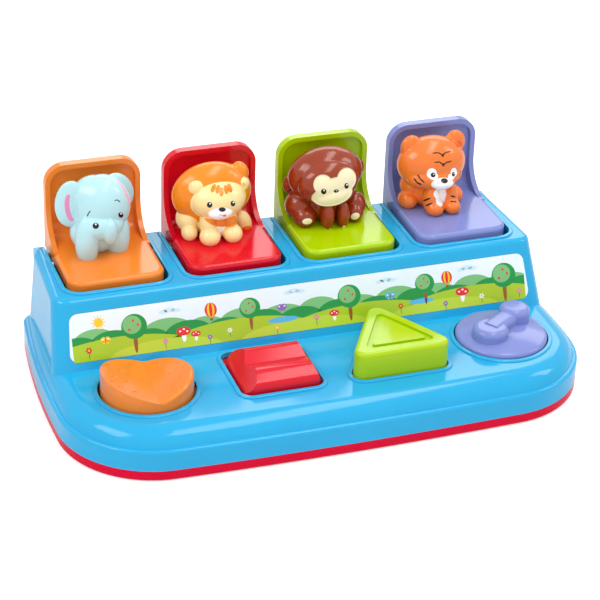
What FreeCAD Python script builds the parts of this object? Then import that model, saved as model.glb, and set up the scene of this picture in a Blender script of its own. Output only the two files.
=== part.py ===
"""Pop up animal toy: four sprung flaps carry animals, and four controls let them go.

Frame: millimetres, +X to the right, +Y to the rear, +Z up. The origin is on the table, under the middle
of the toy's plan. The flaps stand open and the controls are at rest.
"""
import math
import os

import FreeCAD
import Part
import Sketcher

Vector = FreeCAD.Vector
Rotation = FreeCAD.Rotation

DRIVING = {
    # plan of the case
    "depth": 168.4, "widest_half": 154.5, "widest_y": -4.0,
    "front_sweep": 2475.0, "side_sweep": 550.0, "front_corner": 55.0, "rear_corner": 10.0,
    # levels of the case
    "tray_top": 6.7, "skirt_top": 19.0, "deck_top": 28.0, "tier_top": 64.7,
    "wall": 2.2, "floor": 2.0, "tray_round": 2.4, "skirt_round": 1.8,
    "shoulder_step": 2.6, "shoulder_slope": 27.0, "shoulder_round": 12.0,
    # raised tier
    "tier_slope": 23.2, "tier_half_front": 145.0, "tier_half_rear": 141.0, "tier_draft": 4.7,
    "rear_draft": 1.0, "tier_corner": 9.0, "tier_edge": 4.0,
    # wells and their raised rims
    "flap_pitch": 70.0, "well_half": 30.1, "well_corner": 9.0, "notch_bottom": 51.0,
    "rim_width": 2.3, "rim_rise": 1.0, "lip": 1.8, "lip_bottom": 50.0,
    # flaps
    "flap_half": 28.05, "panel_depth": 5.2, "panel_recess": 2.8, "panel_top": 115.0, "panel_corner": 12.0,
    "flap_rim": 3.0, "gusset_round": 20.0, "seat_top": 69.5, "seat_depth": 7.5, "seat_corner": 9.0,
    "seat_round": 2.4, "seat_wall": 2.2, "stop_wide": 6.0, "stop_inset": 1.4, "stop_thick": 2.0,
    "stop_gap": 0.1,
    # hinges
    "hinge_z": 59.35, "barrel": 4.2, "pin": 1.5, "pin_reach": 33.6, "fit_gap": 0.05, "spring_bay": 12.0,
    "lug_low": 54.0, "lug_end": 5.6, "coil": 2.2, "coil_wire": 0.4, "coil_pitch": 1.3, "coil_turns": 5.25,
    "coil_leg": 10.0,
    # figures' screw posts and hollow trunks
    "post": 3.4, "post_shift": -3.0, "post_apart": 5.5, "post_tall": 11.0, "core": 7.0, "core_tall": 15.5,
    # sticker
    "sticker_top": 137.0, "sticker_bottom": 139.4, "sticker_tall": 27.3, "sticker_mid": 44.85,
    "sticker_corner": 5.0, "sticker_thick": 0.25, "sticker_sunk": 0.3,
    # controls
    "control_pitch": 70.5, "control_shift": 2.0, "hole": 27.35, "flange": 1.8, "flange_gap": 0.3,
    "flange_reach": 2.6,
    # rocker, its pin, lever and springs
    "rocker_radius": 26.3, "rocker_draft": 0.8, "rocker_low": 14.0, "rocker_rise": 8.6, "rocker_valley": 34.2,
    "rocker_dip": 4.0, "rocker_skew": 4.5, "rocker_pivot": 20.0, "rocker_tube": 3.5, "arm": 2.5,
    "arm_low": 3.4, "ear": 3.0, "ear_half": 4.0, "ear_drop": 4.5, "ear_gap": 0.35, "lever_hub": 6.0,
    "lever_stud": 2.6, "lever_screw": 1.0, "lever_play": 2.5, "side_post": 2.0, "side_post_top": 12.5,
    "side_spring": 12.5, "side_spring_z": 8.6,
    # slide block
    "slot_shift": 1.7, "slot_half": 24.0, "slot_corner": 6.0, "block_half": 22.4, "block_corner": 5.0,
    "block_nose": 34.0, "ridge": 38.3, "valley": 34.4, "lean_left": 11.0, "lean_right": 4.0,
    "front_round": 12.0, "rear_round": 6.0, "nose_round": 5.0, "side_round": 5.0, "slide_travel": 6.0,
    "slide_post": 3.4, "slide_post_shift": 3.0,
    # push button
    "prism_shift": 1.0, "prism_side": 64.5, "prism_corner": 6.0, "prism_gap": 0.9, "prism_top": 44.5,
    "prism_low": 12.0, "groove_inset": 6.0, "groove_width": 3.0, "groove_deep": 1.4, "groove_corner": 3.0,
    "wedge_deep": 8.0, "wedge_low": 9.0, "wedge_half": 3.0, "wedge_gap": 0.42, "nose_top": 12.5,
    "push_coil": 3.0, "spring_inset": 8.6, "spring_seat": 20.0, "spring_tube": 4.4, "spring_stud": 1.8,
    # dial and its crank
    "dial_radius": 26.6, "dial_edge": 30.8, "dial_top": 34.0, "dial_low": 15.3, "dial_round": 2.2, "hub": 5.0,
    "grip_front": 10.5, "grip_rear": 9.0, "grip_low": 39.2, "grip_high": 41.4, "grip_waist": 12.0,
    "grip_round": 3.4, "waist_long": 24.0, "waist_drop": 0.4, "cup_floor": 13.0, "crank_radius": 11.0,
    "crank_low": 8.2, "crank_thick": 2.3, "crank_throw": 7.8, "crank_pin": 1.8, "crank_pin_low": 3.0,
    "crank_slack": 0.55, "dial_screw_long": 11.0,
    # release bars
    "bar_low": 2.3, "bar_thick": 2.8, "bar_half": 6.0, "bar_ear_half": 3.5, "bar_ear": 2.0,
    "bar_ear_rise": 5.5, "gate": 2.0, "gate_rise": 5.6, "return_coil": 2.4, "return_wire": 0.35,
    "return_turns": 5.0, "slack": 0.3,
    # spring catches
    "catch_top": 4.9, "catch_thick": 0.4, "catch_half": 4.0, "catch_hump": 4.0, "stake": 1.4,
    "stake_rise": 1.2, "stake_inset": 2.8,
    # screws
    "boss": 3.5, "screw": 1.45, "screw_head": 3.1, "screw_sunk": 3.0, "screw_long": 18.0,
    "head_tall": 1.8, "small_head_tall": 1.6,
}

# Places along Y, measured forward from the rear edge, so that the works keep together as the depth changes.
FROM_REAR = {
    "tier_front": 71.9, "tier_rear": 2.5, "well_front": 66.0, "rim_rear": 7.2,
    "panel_rear": 0.5, "seat_front": 63.0, "seat_root": 12.2, "hinge_y": 7.55, "lug_front": 12.2,
    "post_y": 22.2, "control_y": 116.3, "slot_front": 139.8, "slot_rear": 92.0, "block_front": 138.6,
    "block_rear": 98.3, "ridge_front": 127.2, "ridge_rear": 104.7, "prism_front": 140.4,
    "wedge_front": 123.2, "wedge_line": 129.2, "nose_rear": 111.2, "push_bar_front": 112.2,
    "slide_bar_front": 134.2, "slide_post_front": 130.2, "slide_post_rear": 106.2, "lever_y": 84.2,
    "bar_rear": 34.7, "ear_y": 74.2, "rib_y": 56.2, "catch_front": 33.2, "catch_nose": 18.0,
    "catch_rear": 4.2,
}

# Screw columns: across from the middle, and forward from the rear edge.
BOSSES = ((-68.5, 134.2), (2.0, 104.2), (73.5, 136.2), (-138.9, 39.2), (0.0, 39.2), (138.9, 39.2))

# Lobes of the dial's grip, to the right and to the rear of its middle.
LOBES = {"front": (-9.0, -4.5), "rear": (12.0, 9.5)}

ANIMALS = ("elephant", "lion", "monkey", "tiger")

doc = FreeCAD.newDocument("pop_up_animal_toy")
sheet = doc.addObject("Spreadsheet::Sheet", "Sizes")
for row, (alias, number) in enumerate([*DRIVING.items(), *FROM_REAR.items()], start=1):
    sheet.set("A%d" % row, alias)
    sheet.set("B%d" % row, str(number))
    sheet.setAlias("B%d" % row, alias)
doc.recompute()


class Size:
    """A length worked out from the sheet: its value now, and the formula that keeps it up to date."""

    def __init__(self, value, formula):
        self.value = value
        self.formula = formula

    def __add__(self, other):
        return Size(self.value + value_of(other), "(%s + %s)" % (self.formula, formula_of(other)))

    def __radd__(self, other):
        return self + other

    def __sub__(self, other):
        return Size(self.value - value_of(other), "(%s - %s)" % (self.formula, formula_of(other)))

    def __rsub__(self, other):
        return Size(value_of(other) - self.value, "(%s - %s)" % (formula_of(other), self.formula))

    def __mul__(self, other):
        return Size(self.value * value_of(other), "(%s * %s)" % (self.formula, formula_of(other)))

    def __rmul__(self, other):
        return self * other

    def __truediv__(self, other):
        return Size(self.value / value_of(other), "(%s / %s)" % (self.formula, formula_of(other)))

    def __neg__(self):
        return Size(-self.value, "(0 - %s)" % self.formula)


def value_of(size):
    return size.value if isinstance(size, Size) else float(size)


def formula_of(size):
    return size.formula if isinstance(size, Size) else "(%.6f)" % size


def tangent_of(angle):
    return Size(math.tan(math.radians(value_of(angle))), "tan(%s * 1 deg)" % formula_of(angle))


def cosine_of(angle):
    return Size(math.cos(math.radians(value_of(angle))), "cos(%s * 1 deg)" % formula_of(angle))


class Sheet:
    """Reads the sheet's cells as sizes; one kept from the rear edge is read as its place along Y."""

    def __getattr__(self, alias):
        if alias in FROM_REAR:
            return self.depth / 2 - Size(FROM_REAR[alias], "Sizes." + alias)
        return Size(DRIVING[alias], "Sizes." + alias)


at = Sheet()
SUBPARTS = {}


# ---------------------------------------------------------------- plain solids

def place(item, x, y, z, rotation=None):
    """Put an object at a point whose coordinates follow the sheet."""
    item.Placement = FreeCAD.Placement(Vector(value_of(x), value_of(y), value_of(z)), rotation or Rotation())
    for axis, size in (("x", x), ("y", y), ("z", z)):
        item.setExpression("Placement.Base." + axis, formula_of(size))


def size_of(item, **sizes):
    for name, size in sizes.items():
        setattr(item, name, value_of(size))
        item.setExpression(name, formula_of(size))


def block(name, x, y, z):
    """A box between pairs of sizes along X, Y and Z."""
    item = doc.addObject("Part::Box", name)
    size_of(item, Length=x[1] - x[0], Width=y[1] - y[0], Height=z[1] - z[0])
    place(item, x[0], y[0], z[0])
    return item


AXES = {"x": Rotation(Vector(0, 1, 0), 90), "y": Rotation(Vector(1, 0, 0), -90), "z": Rotation()}


def rod(name, axis, start, length, radius):
    """A cylinder that starts at a point and runs along an axis."""
    item = doc.addObject("Part::Cylinder", name)
    size_of(item, Radius=radius, Height=length)
    place(item, *start, rotation=AXES[axis])
    return item


def cone(name, start, length, low_radius, high_radius):
    item = doc.addObject("Part::Cone", name)
    size_of(item, Radius1=low_radius, Radius2=high_radius, Height=length)
    place(item, *start)
    return item


def egg(name, centre, half, lean=(0.0, 0.0, 0.0), seam=-90):
    """An ellipsoid with half sizes along X, Y and Z, leaning by yaw, pitch and roll.

    Its surface closes on a seam that faces the front, or the rear where the seam is 90.
    """
    item = doc.addObject("Part::Ellipsoid", name)
    size_of(item, Radius1=half[2], Radius2=half[1], Radius3=half[0])
    place(item, *centre, rotation=Rotation(*lean).multiply(Rotation(Z_AXIS, seam)))
    return item


def fuse(name, items):
    item = doc.addObject("Part::MultiFuse", name)
    item.Shapes = list(items)
    item.Refine = True
    return item


def chain(name, items):
    """Fuse rounded forms one after the other, which keeps curved joins sound."""
    whole = items[0]
    for index, item in enumerate(items[1:], start=1):
        joined = doc.addObject("Part::Fuse", "%s%d" % (name, index))
        joined.Base = whole
        joined.Tool = item
        whole = joined
    return whole


def plain_cut(name, base, tool):
    """Cut one tool from a curved solid and leave its faces as they are."""
    item = doc.addObject("Part::Cut", name)
    item.Base = base
    item.Tool = tool
    return item


def cut(name, base, tools):
    tools = list(tools)
    item = doc.addObject("Part::Cut", name)
    item.Base = base
    item.Tool = tools[0] if len(tools) == 1 else fuse(name + "_tools", tools)
    item.Refine = True
    return item


def group(name, items):
    """Separate solids that share one node."""
    item = doc.addObject("Part::Compound", name)
    item.Links = list(items)
    return item


# ---------------------------------------------------------------- edges and fillets

def middle(edge):
    return edge.valueAt((edge.FirstParameter + edge.LastParameter) / 2)


def runs(edge, axis):
    tangent = edge.tangentAt((edge.FirstParameter + edge.LastParameter) / 2)
    return abs(tangent.dot(axis)) > 0.95


def level(edge, height, slack=0.02):
    return all(abs(v.Z - value_of(height)) < slack for v in edge.Vertexes) and \
        abs(middle(edge).z - value_of(height)) < slack


def flat(edge):
    ends = edge.Vertexes
    return abs(ends[0].Z - ends[-1].Z) < 0.01


X_AXIS = Vector(1, 0, 0)
Y_AXIS = Vector(0, 1, 0)
Z_AXIS = Vector(0, 0, 1)


def chosen_edges(shape, wanted):
    return [number for number, edge in enumerate(shape.Edges, start=1) if wanted(edge)]


def rounded(name, base, radius, wanted):
    """Part fillet on the chosen edges of any object."""
    doc.recompute()
    item = doc.addObject("Part::Fillet", name)
    item.Base = base
    numbers = chosen_edges(base.Shape, wanted)
    item.Edges = [(number, value_of(radius), value_of(radius)) for number in numbers]
    return item


def round_body(body, radius, wanted):
    """PartDesign fillet on the chosen edges of a body's tip."""
    doc.recompute()
    tip = body.Tip
    item = body.newObject("PartDesign::Fillet", body.Name + "_round")
    item.Base = (tip, ["Edge%d" % number for number in chosen_edges(tip.Shape, wanted)])
    size_of(item, Radius=radius)
    return item


# ---------------------------------------------------------------- sketches and bodies

def new_body(name):
    body = doc.addObject("PartDesign::Body", name)
    body.Label = name
    return body


def new_sketch(body, name, role, offset):
    """A sketch on one of the body's own origin planes, raised along the plane's normal."""
    sketch = body.newObject("Sketcher::SketchObject", name)
    plane = next(item for item in body.Origin.OriginFeatures if item.Role == role)
    sketch.AttachmentSupport = [(plane, "")]
    sketch.MapMode = "FlatFace"
    sketch.AttachmentOffset = FreeCAD.Placement(Vector(0, 0, value_of(offset)), Rotation())
    sketch.setExpression("AttachmentOffset.Base.z", formula_of(offset))
    return sketch


def hold(sketch, kind, *place_and_size):
    """A driving constraint whose value follows the sheet."""
    *references, size = place_and_size
    index = sketch.addConstraint(Sketcher.Constraint(kind, *references, value_of(size)))
    sketch.renameConstraint(index, "size%d" % index)
    sketch.setExpression("Constraints.size%d" % index, formula_of(size))


def draw_polygon(sketch, corners):
    points = [Vector(value_of(u), value_of(v), 0) for u, v in corners]
    count = len(points)
    for index in range(count):
        sketch.addGeometry(Part.LineSegment(points[index], points[(index + 1) % count]), False)
    for index in range(count):
        sketch.addConstraint(Sketcher.Constraint("Coincident", index, 2, (index + 1) % count, 1))
    for index, (u, v) in enumerate(corners):
        hold(sketch, "DistanceX", -1, 1, index, 1, u)
        hold(sketch, "DistanceY", -1, 1, index, 1, v)


PLANES = {"xy": "XY_Plane", "yz": "YZ_Plane", "xz": "XZ_Plane"}


def prism(name, plane, corners, low, high):
    """A body padded from a polygon on a plane, between two sizes along the plane's axis."""
    body = new_body(name)
    offset = -high if plane == "xz" else low
    sketch = new_sketch(body, name + "_outline", PLANES[plane], offset)
    draw_polygon(sketch, corners)
    pad = body.newObject("PartDesign::Pad", name + "_pad")
    pad.Profile = sketch
    size_of(pad, Length=high - low)
    return body


def rectangle(low_x, high_x, low_y, high_y):
    return [(low_x, low_y), (high_x, low_y), (high_x, high_y), (low_x, high_y)]


# ---------------------------------------------------------------- the case's plan

def circle_meeting(first, first_reach, second, second_reach):
    """The right-hand point at given distances from two centres."""
    span = second - first
    along = (first_reach ** 2 - second_reach ** 2 + span.Length ** 2) / (2 * span.Length)
    across = math.sqrt(max(first_reach ** 2 - along ** 2, 0.0))
    direction = Vector(span).normalize()
    sideways = Vector(direction.y, -direction.x, 0)
    choices = [first + direction * along + sideways * (across * sign) for sign in (1, -1)]
    return max(choices, key=lambda point: point.x)


def heading(start, end):
    return math.atan2(end.y - start.y, end.x - start.x)


def draw_plan(sketch, inset):
    """The case's outline, moved in by an inset: swept front and sides joined by tangent corners."""
    half_depth = at.depth / 2
    front_y = at.front_sweep - half_depth
    side_x = at.widest_half - at.side_sweep
    front = Vector(0, front_y.value, 0)
    side = Vector(side_x.value, at.widest_y.value, 0)
    corner = circle_meeting(front, at.front_sweep.value - at.front_corner.value,
                            side, at.side_sweep.value - at.front_corner.value)
    rear_y = half_depth.value - at.rear_corner.value
    reach = at.side_sweep.value - at.rear_corner.value
    rear = Vector(side.x + math.sqrt(reach ** 2 - (rear_y - side.y) ** 2), rear_y, 0)
    front_turn = heading(front, corner)
    side_turn = heading(side, corner)
    rear_turn = heading(side, rear)
    half_turn = math.pi

    def arc(centre, radius, start, end):
        circle = Part.Circle(centre, Z_AXIS, radius.value)
        return sketch.addGeometry(Part.ArcOfCircle(circle, start, end), False)

    def mirrored(point):
        return Vector(-point.x, point.y, 0)

    front_radius = at.front_sweep - inset
    side_radius = at.side_sweep - inset
    corner_radius = at.front_corner - inset
    rear_radius = at.rear_corner - inset
    arc(front, front_radius, -half_turn - front_turn, front_turn)
    arc(corner, corner_radius, front_turn, side_turn)
    arc(side, side_radius, side_turn, rear_turn)
    arc(rear, rear_radius, rear_turn, half_turn / 2)
    rear_edge = value_of(half_depth - inset)
    sketch.addGeometry(Part.LineSegment(Vector(rear.x, rear_edge, 0), Vector(-rear.x, rear_edge, 0)), False)
    arc(mirrored(rear), rear_radius, half_turn / 2, half_turn - rear_turn)
    arc(mirrored(side), side_radius, half_turn - rear_turn, half_turn - side_turn)
    arc(mirrored(corner), corner_radius, half_turn - side_turn, half_turn - front_turn)
    for index in range(8):
        sketch.addConstraint(Sketcher.Constraint("Tangent", index, 2, (index + 1) % 8, 1))
    for index, radius in ((0, front_radius), (1, corner_radius), (2, side_radius), (3, rear_radius),
                          (5, rear_radius), (6, side_radius), (7, corner_radius)):
        hold(sketch, "Radius", index, radius)
    hold(sketch, "DistanceX", -1, 1, 0, 3, 0.0)
    hold(sketch, "DistanceY", -1, 1, 0, 3, front_y)
    for index, centre_x in ((2, side_x), (6, -side_x)):
        hold(sketch, "DistanceX", -1, 1, index, 3, centre_x)
        hold(sketch, "DistanceY", -1, 1, index, 3, at.widest_y)
    sketch.addConstraint(Sketcher.Constraint("Horizontal", 4))
    hold(sketch, "DistanceY", -1, 1, 4, 1, half_depth - inset)


def plan_sketch(body, name, inset, height):
    sketch = new_sketch(body, name, "XY_Plane", height)
    draw_plan(sketch, inset)
    return sketch


def plan_pad(body, name, inset, low, high):
    pad = body.newObject("PartDesign::Pad", name)
    pad.Profile = plan_sketch(body, name + "_outline", inset, low)
    size_of(pad, Length=high - low)
    return pad


# ---------------------------------------------------------------- housing

NONE = Size(0.0, "0")
CHANNELS = (0, 1, 2, 3)


def flap_x(channel):
    return at.flap_pitch * (channel - 1.5)


def control_x(channel):
    return at.control_pitch * (channel - 1.5) + at.control_shift


def boss_places():
    return [(across, at.depth / 2 - forward) for across, forward in BOSSES]


def base_form(name, wall, low):
    """The skirt and the sloping shoulder, moved in by a wall."""
    top = at.skirt_top - wall
    skirt = new_body(name + "_skirt")
    plan_pad(skirt, name + "_skirt_pad", wall, low, top)
    shoulder = new_body(name + "_shoulder")
    plan_pad(shoulder, name + "_shoulder_foot", at.shoulder_step + wall, top - 4, top)
    slope = plan_pad(shoulder, name + "_shoulder_slope", at.shoulder_step + wall, top, at.deck_top - wall)
    slope.TaperAngle = -at.shoulder_slope.value
    slope.setExpression("TaperAngle", formula_of(-at.shoulder_slope))
    round_body(shoulder, at.shoulder_round - wall, lambda edge: level(edge, at.deck_top - wall))
    return skirt, shoulder


def tier_form(name, wall):
    """The raised tier that holds the wells, moved in by a wall."""
    top = at.tier_top - wall
    low = at.skirt_top - wall
    drop = at.tier_top - low
    head_front = at.tier_front - wall * tangent_of(at.tier_slope) + wall / cosine_of(at.tier_slope)
    foot_front = head_front - (top - low) * tangent_of(at.tier_slope)
    foot_rear = at.tier_rear - wall + drop * tangent_of(at.rear_draft)
    side_view = prism(name + "_tier_side", "yz",
                      [(foot_front, low), (foot_rear, low), (at.tier_rear - wall, top), (head_front, top)],
                      -at.widest_half, at.widest_half)
    lean = (at.tier_half_front - at.tier_half_rear) / (at.tier_rear - at.tier_front)
    spread = drop * tangent_of(at.tier_draft) - wall
    reach = 60.0
    front_half = at.tier_half_front + lean * reach + spread
    rear_half = at.tier_half_rear - lean * reach + spread
    plan = new_body(name + "_tier_plan")
    sketch = new_sketch(plan, name + "_tier_outline", "XY_Plane", low)
    draw_polygon(sketch, [(-front_half, at.tier_front - reach), (front_half, at.tier_front - reach),
                          (rear_half, at.tier_rear + reach), (-rear_half, at.tier_rear + reach)])
    pad = plan.newObject("PartDesign::Pad", name + "_tier_pad")
    pad.Profile = sketch
    size_of(pad, Length=drop + 5)
    pad.TaperAngle = -at.tier_draft.value
    pad.setExpression("TaperAngle", formula_of(-at.tier_draft))
    tier = doc.addObject("Part::MultiCommon", name + "_tier")
    tier.Shapes = [side_view, plan]
    upright = rounded(name + "_tier_corners", tier, at.tier_corner - wall, lambda edge: not flat(edge))
    return rounded(name + "_tier_edges", upright, at.tier_edge - wall, lambda edge: level(edge, top))


def well_prism(name, centre, grow, rear, low, high):
    """An upright block round a well with rounded front corners."""
    base = block(name + "_block", (centre - at.well_half - grow, centre + at.well_half + grow),
                 (at.well_front - grow, rear), (low, high))
    front = value_of(at.well_front - grow)
    return rounded(name, base, at.well_corner + grow,
                   lambda edge: runs(edge, Z_AXIS) and abs(middle(edge).y - front) < 0.01)


def round_prism(name, corners, radius, low, high):
    """An upright body from a polygon, with all its upright edges rounded."""
    body = prism(name, "xy", corners, low, high)
    round_body(body, radius, lambda edge: runs(edge, Z_AXIS))
    return body


def triangle(centre, front, side):
    """An equilateral triangle with one side along the front and its apex to the rear."""
    tall = side * 0.866025
    return [(centre - side / 2, front), (centre + side / 2, front), (centre, front + tall)]


def make_housing():
    skirt, shoulder = base_form("outer", NONE, at.tray_top)
    round_body(skirt, at.skirt_round, lambda edge: level(edge, at.skirt_top))
    tier = tier_form("outer", NONE)
    inner_skirt, inner_shoulder = base_form("inner", at.wall, at.tray_top - 1)
    inner_tier = tier_form("inner", at.wall)
    outer = fuse("housing_outer", [skirt, shoulder, tier])
    inner = fuse("housing_inner", [inner_skirt, inner_shoulder, inner_tier])
    shell = cut("housing_shell", outer, [inner])

    added = [shell]
    removed = []
    inner_rear = at.tier_rear - at.wall
    for channel in CHANNELS:
        centre = flap_x(channel)
        name = "well%d" % channel
        rim = well_prism(name + "_rim", centre, at.rim_width, at.rim_rear, at.tier_top - at.wall / 2,
                         at.tier_top + at.rim_rise)
        added.append(rounded(name + "_bead", rim, at.rim_rise * 0.8,
                             lambda edge: level(edge, at.tier_top + at.rim_rise)))
        added.append(well_prism(name + "_lip", centre, at.lip, inner_rear + 1, at.lip_bottom,
                                at.tier_top - at.wall / 2))
        removed.append(well_prism(name + "_mouth", centre, NONE, inner_rear, at.lip_bottom - 1,
                                  at.tier_top + 3))
        removed.append(block(name + "_notch", (centre - at.well_half, centre + at.well_half),
                             (inner_rear - 1, at.tier_rear + 3), (at.notch_bottom, at.tier_top + 3)))
        for sign in (-1, 1):
            inside = centre + at.well_half * sign
            outside = centre + (at.flap_pitch / 2) * sign
            if channel == (0 if sign < 0 else 3):
                outside = centre + (at.well_half + at.lug_end) * sign
            low_x, high_x = (outside, inside) if sign < 0 else (inside, outside)
            added.append(block("lug%d_%s" % (channel, "left" if sign < 0 else "right"), (low_x, high_x),
                               (at.lug_front, inner_rear + 1), (at.lug_low, at.tier_top - at.wall / 2)))
        removed.append(rod(name + "_pin_bore", "x", (centre - at.pin_reach - 0.2, at.hinge_y, at.hinge_z),
                           at.pin_reach * 2 + 0.4, at.pin + at.fit_gap * 0.4))
        removed.append(block(name + "_pin_slot", (centre - at.pin_reach - 0.2, centre + at.pin_reach + 0.2),
                             (at.hinge_y - at.pin * 0.85, at.hinge_y + at.pin * 0.85),
                             (at.lug_low - 1, at.hinge_z)))

    rocker, slider, pusher, dial = [control_x(channel) for channel in CHANNELS]
    low, high = at.deck_top - 3, at.deck_top + 4
    bead_low, bead_high = at.deck_top - 1, at.deck_top + at.rim_rise
    slider, pusher = slider + at.slot_shift, pusher + at.prism_shift
    slider_plan = rectangle(slider - at.slot_half, slider + at.slot_half, at.slot_front, at.slot_rear)
    pusher_side = at.prism_side + at.prism_gap * 3.4641
    pusher_plan = triangle(pusher, at.prism_front - at.prism_gap, pusher_side)
    cup = rod("dial_cup", "z", (dial, at.control_y, at.cup_floor), at.deck_top - 1 - at.cup_floor,
              at.hole + at.wall)
    added.append(cup)
    removed.append(rod("dial_hub_hole", "z", (dial, at.control_y, at.cup_floor - 1),
                       at.dial_low - at.cup_floor + 2, at.hub + at.slack))
    for name, centre, foot in (("rocker", rocker, low), ("dial", dial, at.dial_low - at.flange_gap)):
        removed.append(rod(name + "_hole", "z", (centre, at.control_y, foot), high - foot, at.hole))
        bead = rod(name + "_ring", "z", (centre, at.control_y, bead_low), bead_high - bead_low,
                   at.hole + at.rim_width)
        added.append(rounded(name + "_bead", bead, at.rim_rise * 0.8, lambda edge: level(edge, bead_high)))
    slot_bead = rectangle(slider - at.slot_half - at.rim_width, slider + at.slot_half + at.rim_width,
                          at.slot_front - at.rim_width, at.slot_rear + at.rim_width)
    pusher_bead = triangle(pusher, at.prism_front - at.prism_gap - at.rim_width,
                           pusher_side + at.rim_width * 3.4641)
    for name, plan, bead_plan, corner in (
            ("slider", slider_plan, slot_bead, at.slot_corner),
            ("pusher", pusher_plan, pusher_bead, at.prism_corner + at.prism_gap)):
        removed.append(round_prism(name + "_hole", plan, corner, low, high))
        bead = round_prism(name + "_ring", bead_plan, corner + at.rim_width, bead_low, bead_high)
        added.append(rounded(name + "_bead", bead, at.rim_rise * 0.8, lambda edge: level(edge, bead_high)))

    # ears that carry the rocker's pin
    inner = at.hole + at.ear_gap
    outer = inner + at.ear
    for end, front in (("front", at.control_y - outer), ("rear", at.control_y + inner)):
        added.append(block("ear_" + end, (rocker - at.ear_half, rocker + at.ear_half),
                           (front, front + at.ear),
                           (at.rocker_pivot - at.ear_drop, at.deck_top - at.wall / 2)))
    removed.append(rod("ear_bore", "y", (rocker, at.control_y - outer - 0.5, at.rocker_pivot), outer * 2 + 1,
                       at.pin + at.fit_gap * 0.4))

    # columns that take the case screws
    for index, (x, y) in enumerate(boss_places()):
        top = (at.deck_top if y.value < at.tier_front.value else at.tier_top) - at.wall / 2
        added.append(rod("column%d" % index, "z", (x, y, at.tray_top), top - at.tray_top, at.boss))
        removed.append(rod("column%d_bore" % index, "z", (x, y, at.tray_top - 1), at.screw_long - 3,
                           at.screw + at.fit_gap))

    half_top, half_low = at.sticker_top + at.sticker_sunk, at.sticker_bottom + at.sticker_sunk
    removed.append(sticker_form("sticker_seat", half_top, half_low, at.sticker_tall / 2 + at.sticker_sunk,
                                at.sticker_sunk, 1.0, at.sticker_corner + at.sticker_sunk))
    built = fuse("housing_built", added)
    finish("housing_top", cut("housing_top", built, removed))


def sticker_form(name, half_top, half_low, half_tall, depth, proud, corner):
    """A thin plate on the tier's sloping face; its depth is under the face and the rest stands proud."""
    body = new_body(name)
    sketch = new_sketch(body, name + "_outline", "XY_Plane", -depth)
    draw_polygon(sketch, [(-half_low, -half_tall), (half_low, -half_tall), (half_top, half_tall),
                          (-half_top, half_tall)])
    pad = body.newObject("PartDesign::Pad", name + "_pad")
    pad.Profile = sketch
    size_of(pad, Length=depth + proud)
    round_body(body, corner, lambda edge: runs(edge, Z_AXIS))
    y = at.tier_front - (at.tier_top - at.sticker_mid) * tangent_of(at.tier_slope)
    place(body, NONE, y, at.sticker_mid, rotation=Rotation(X_AXIS, 90 - at.tier_slope.value))
    body.setExpression("Placement.Rotation.Angle", "(90 - Sizes.tier_slope) * 1 deg")
    return body


def finish(label, item):
    """Take an object as one of the toy's pieces."""
    item.Label = label
    SUBPARTS[label] = item


def make_sticker():
    finish("scene_sticker", sticker_form("scene_sticker", at.sticker_top, at.sticker_bottom,
                                         at.sticker_tall / 2, at.sticker_sunk,
                                         at.sticker_thick - at.sticker_sunk, at.sticker_corner))


# ---------------------------------------------------------------- tray

def make_tray():
    shell = new_body("tray_shell")
    plan_pad(shell, "tray_pad", NONE, NONE, at.tray_top)
    round_body(shell, at.tray_round, lambda edge: level(edge, NONE))
    tongue = new_body("tray_tongue")
    plan_pad(tongue, "tray_tongue_pad", at.wall + at.slack / 2, at.floor, at.tray_top + 3)
    hollow = new_body("tray_hollow")
    plan_pad(hollow, "tray_hollow_pad", at.wall * 1.7, at.floor, at.tray_top + 4)
    added = [cut("tray_open", fuse("tray_solid", [shell, tongue]), [hollow])]
    removed = []
    top = at.bar_low + at.bar_thick

    for index, (x, y) in enumerate(boss_places()):
        added.append(rod("tray_column%d" % index, "z", (x, y, at.floor - 1), at.tray_top - at.floor + 1,
                         at.boss + 0.6))
        removed.append(rod("tray_sink%d" % index, "z", (x, y, -at.floor), at.floor + at.screw_sunk,
                           at.screw_head + at.slack))
        removed.append(rod("tray_hole%d" % index, "z", (x, y, NONE), at.tray_top + 1, at.screw + at.slack))

    for channel in CHANNELS:
        centre = flap_x(channel)
        name = "tray%d" % channel
        play = at.slack if channel else at.lever_play
        half = at.bar_half + play + at.gate
        gate = block(name + "_gate", (centre - half, centre + half), (at.rib_y, at.rib_y + at.gate),
                     (at.floor - 1, top + at.gate_rise))
        window = block(name + "_window", (centre - half + at.gate, centre + half - at.gate),
                       (at.rib_y - 1, at.rib_y + at.gate + 1), (at.floor, top + at.slack))
        added.append(cut(name + "_guide", gate, [window]))
        added.append(rod(name + "_stake", "z", (centre, at.catch_rear - at.stake_inset, at.floor - 1),
                         at.stake_rise + 1, at.stake))

    rocker, pusher = control_x(0), control_x(2) + at.prism_shift
    for side, low in (("left", rocker - at.side_spring - at.side_post), ("right", rocker + at.side_spring)):
        added.append(block("tray_post_" + side, (low, low + at.side_post),
                           (at.control_y - 3, at.control_y + 3), (at.floor - 1, at.side_post_top - 1)))
    added.append(rod("tray_lever_stud", "z", (rocker, at.lever_y, at.floor - 1),
                     top + at.slack - at.floor + 1, at.lever_stud))
    added.append(rod("tray_spring_stud", "z", (pusher, at.prism_front + at.spring_inset, at.floor - 1), 5.0,
                     at.spring_stud))
    removed.append(rod("tray_lever_bore", "z", (rocker, at.lever_y, at.floor - 0.5), 6.0, at.lever_screw))
    finish("base_tray", cut("base_tray", fuse("tray_built", added), removed))


def screw(name, x, y, low, head_high, long, shank, head):
    """A pan screw that points up: head at the bottom and a plain shank."""
    return fuse(name, [rod(name + "_head", "z", (x, y, low), head_high, head),
                       rod(name + "_shank", "z", (x, y, low + head_high), long, shank)])


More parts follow.
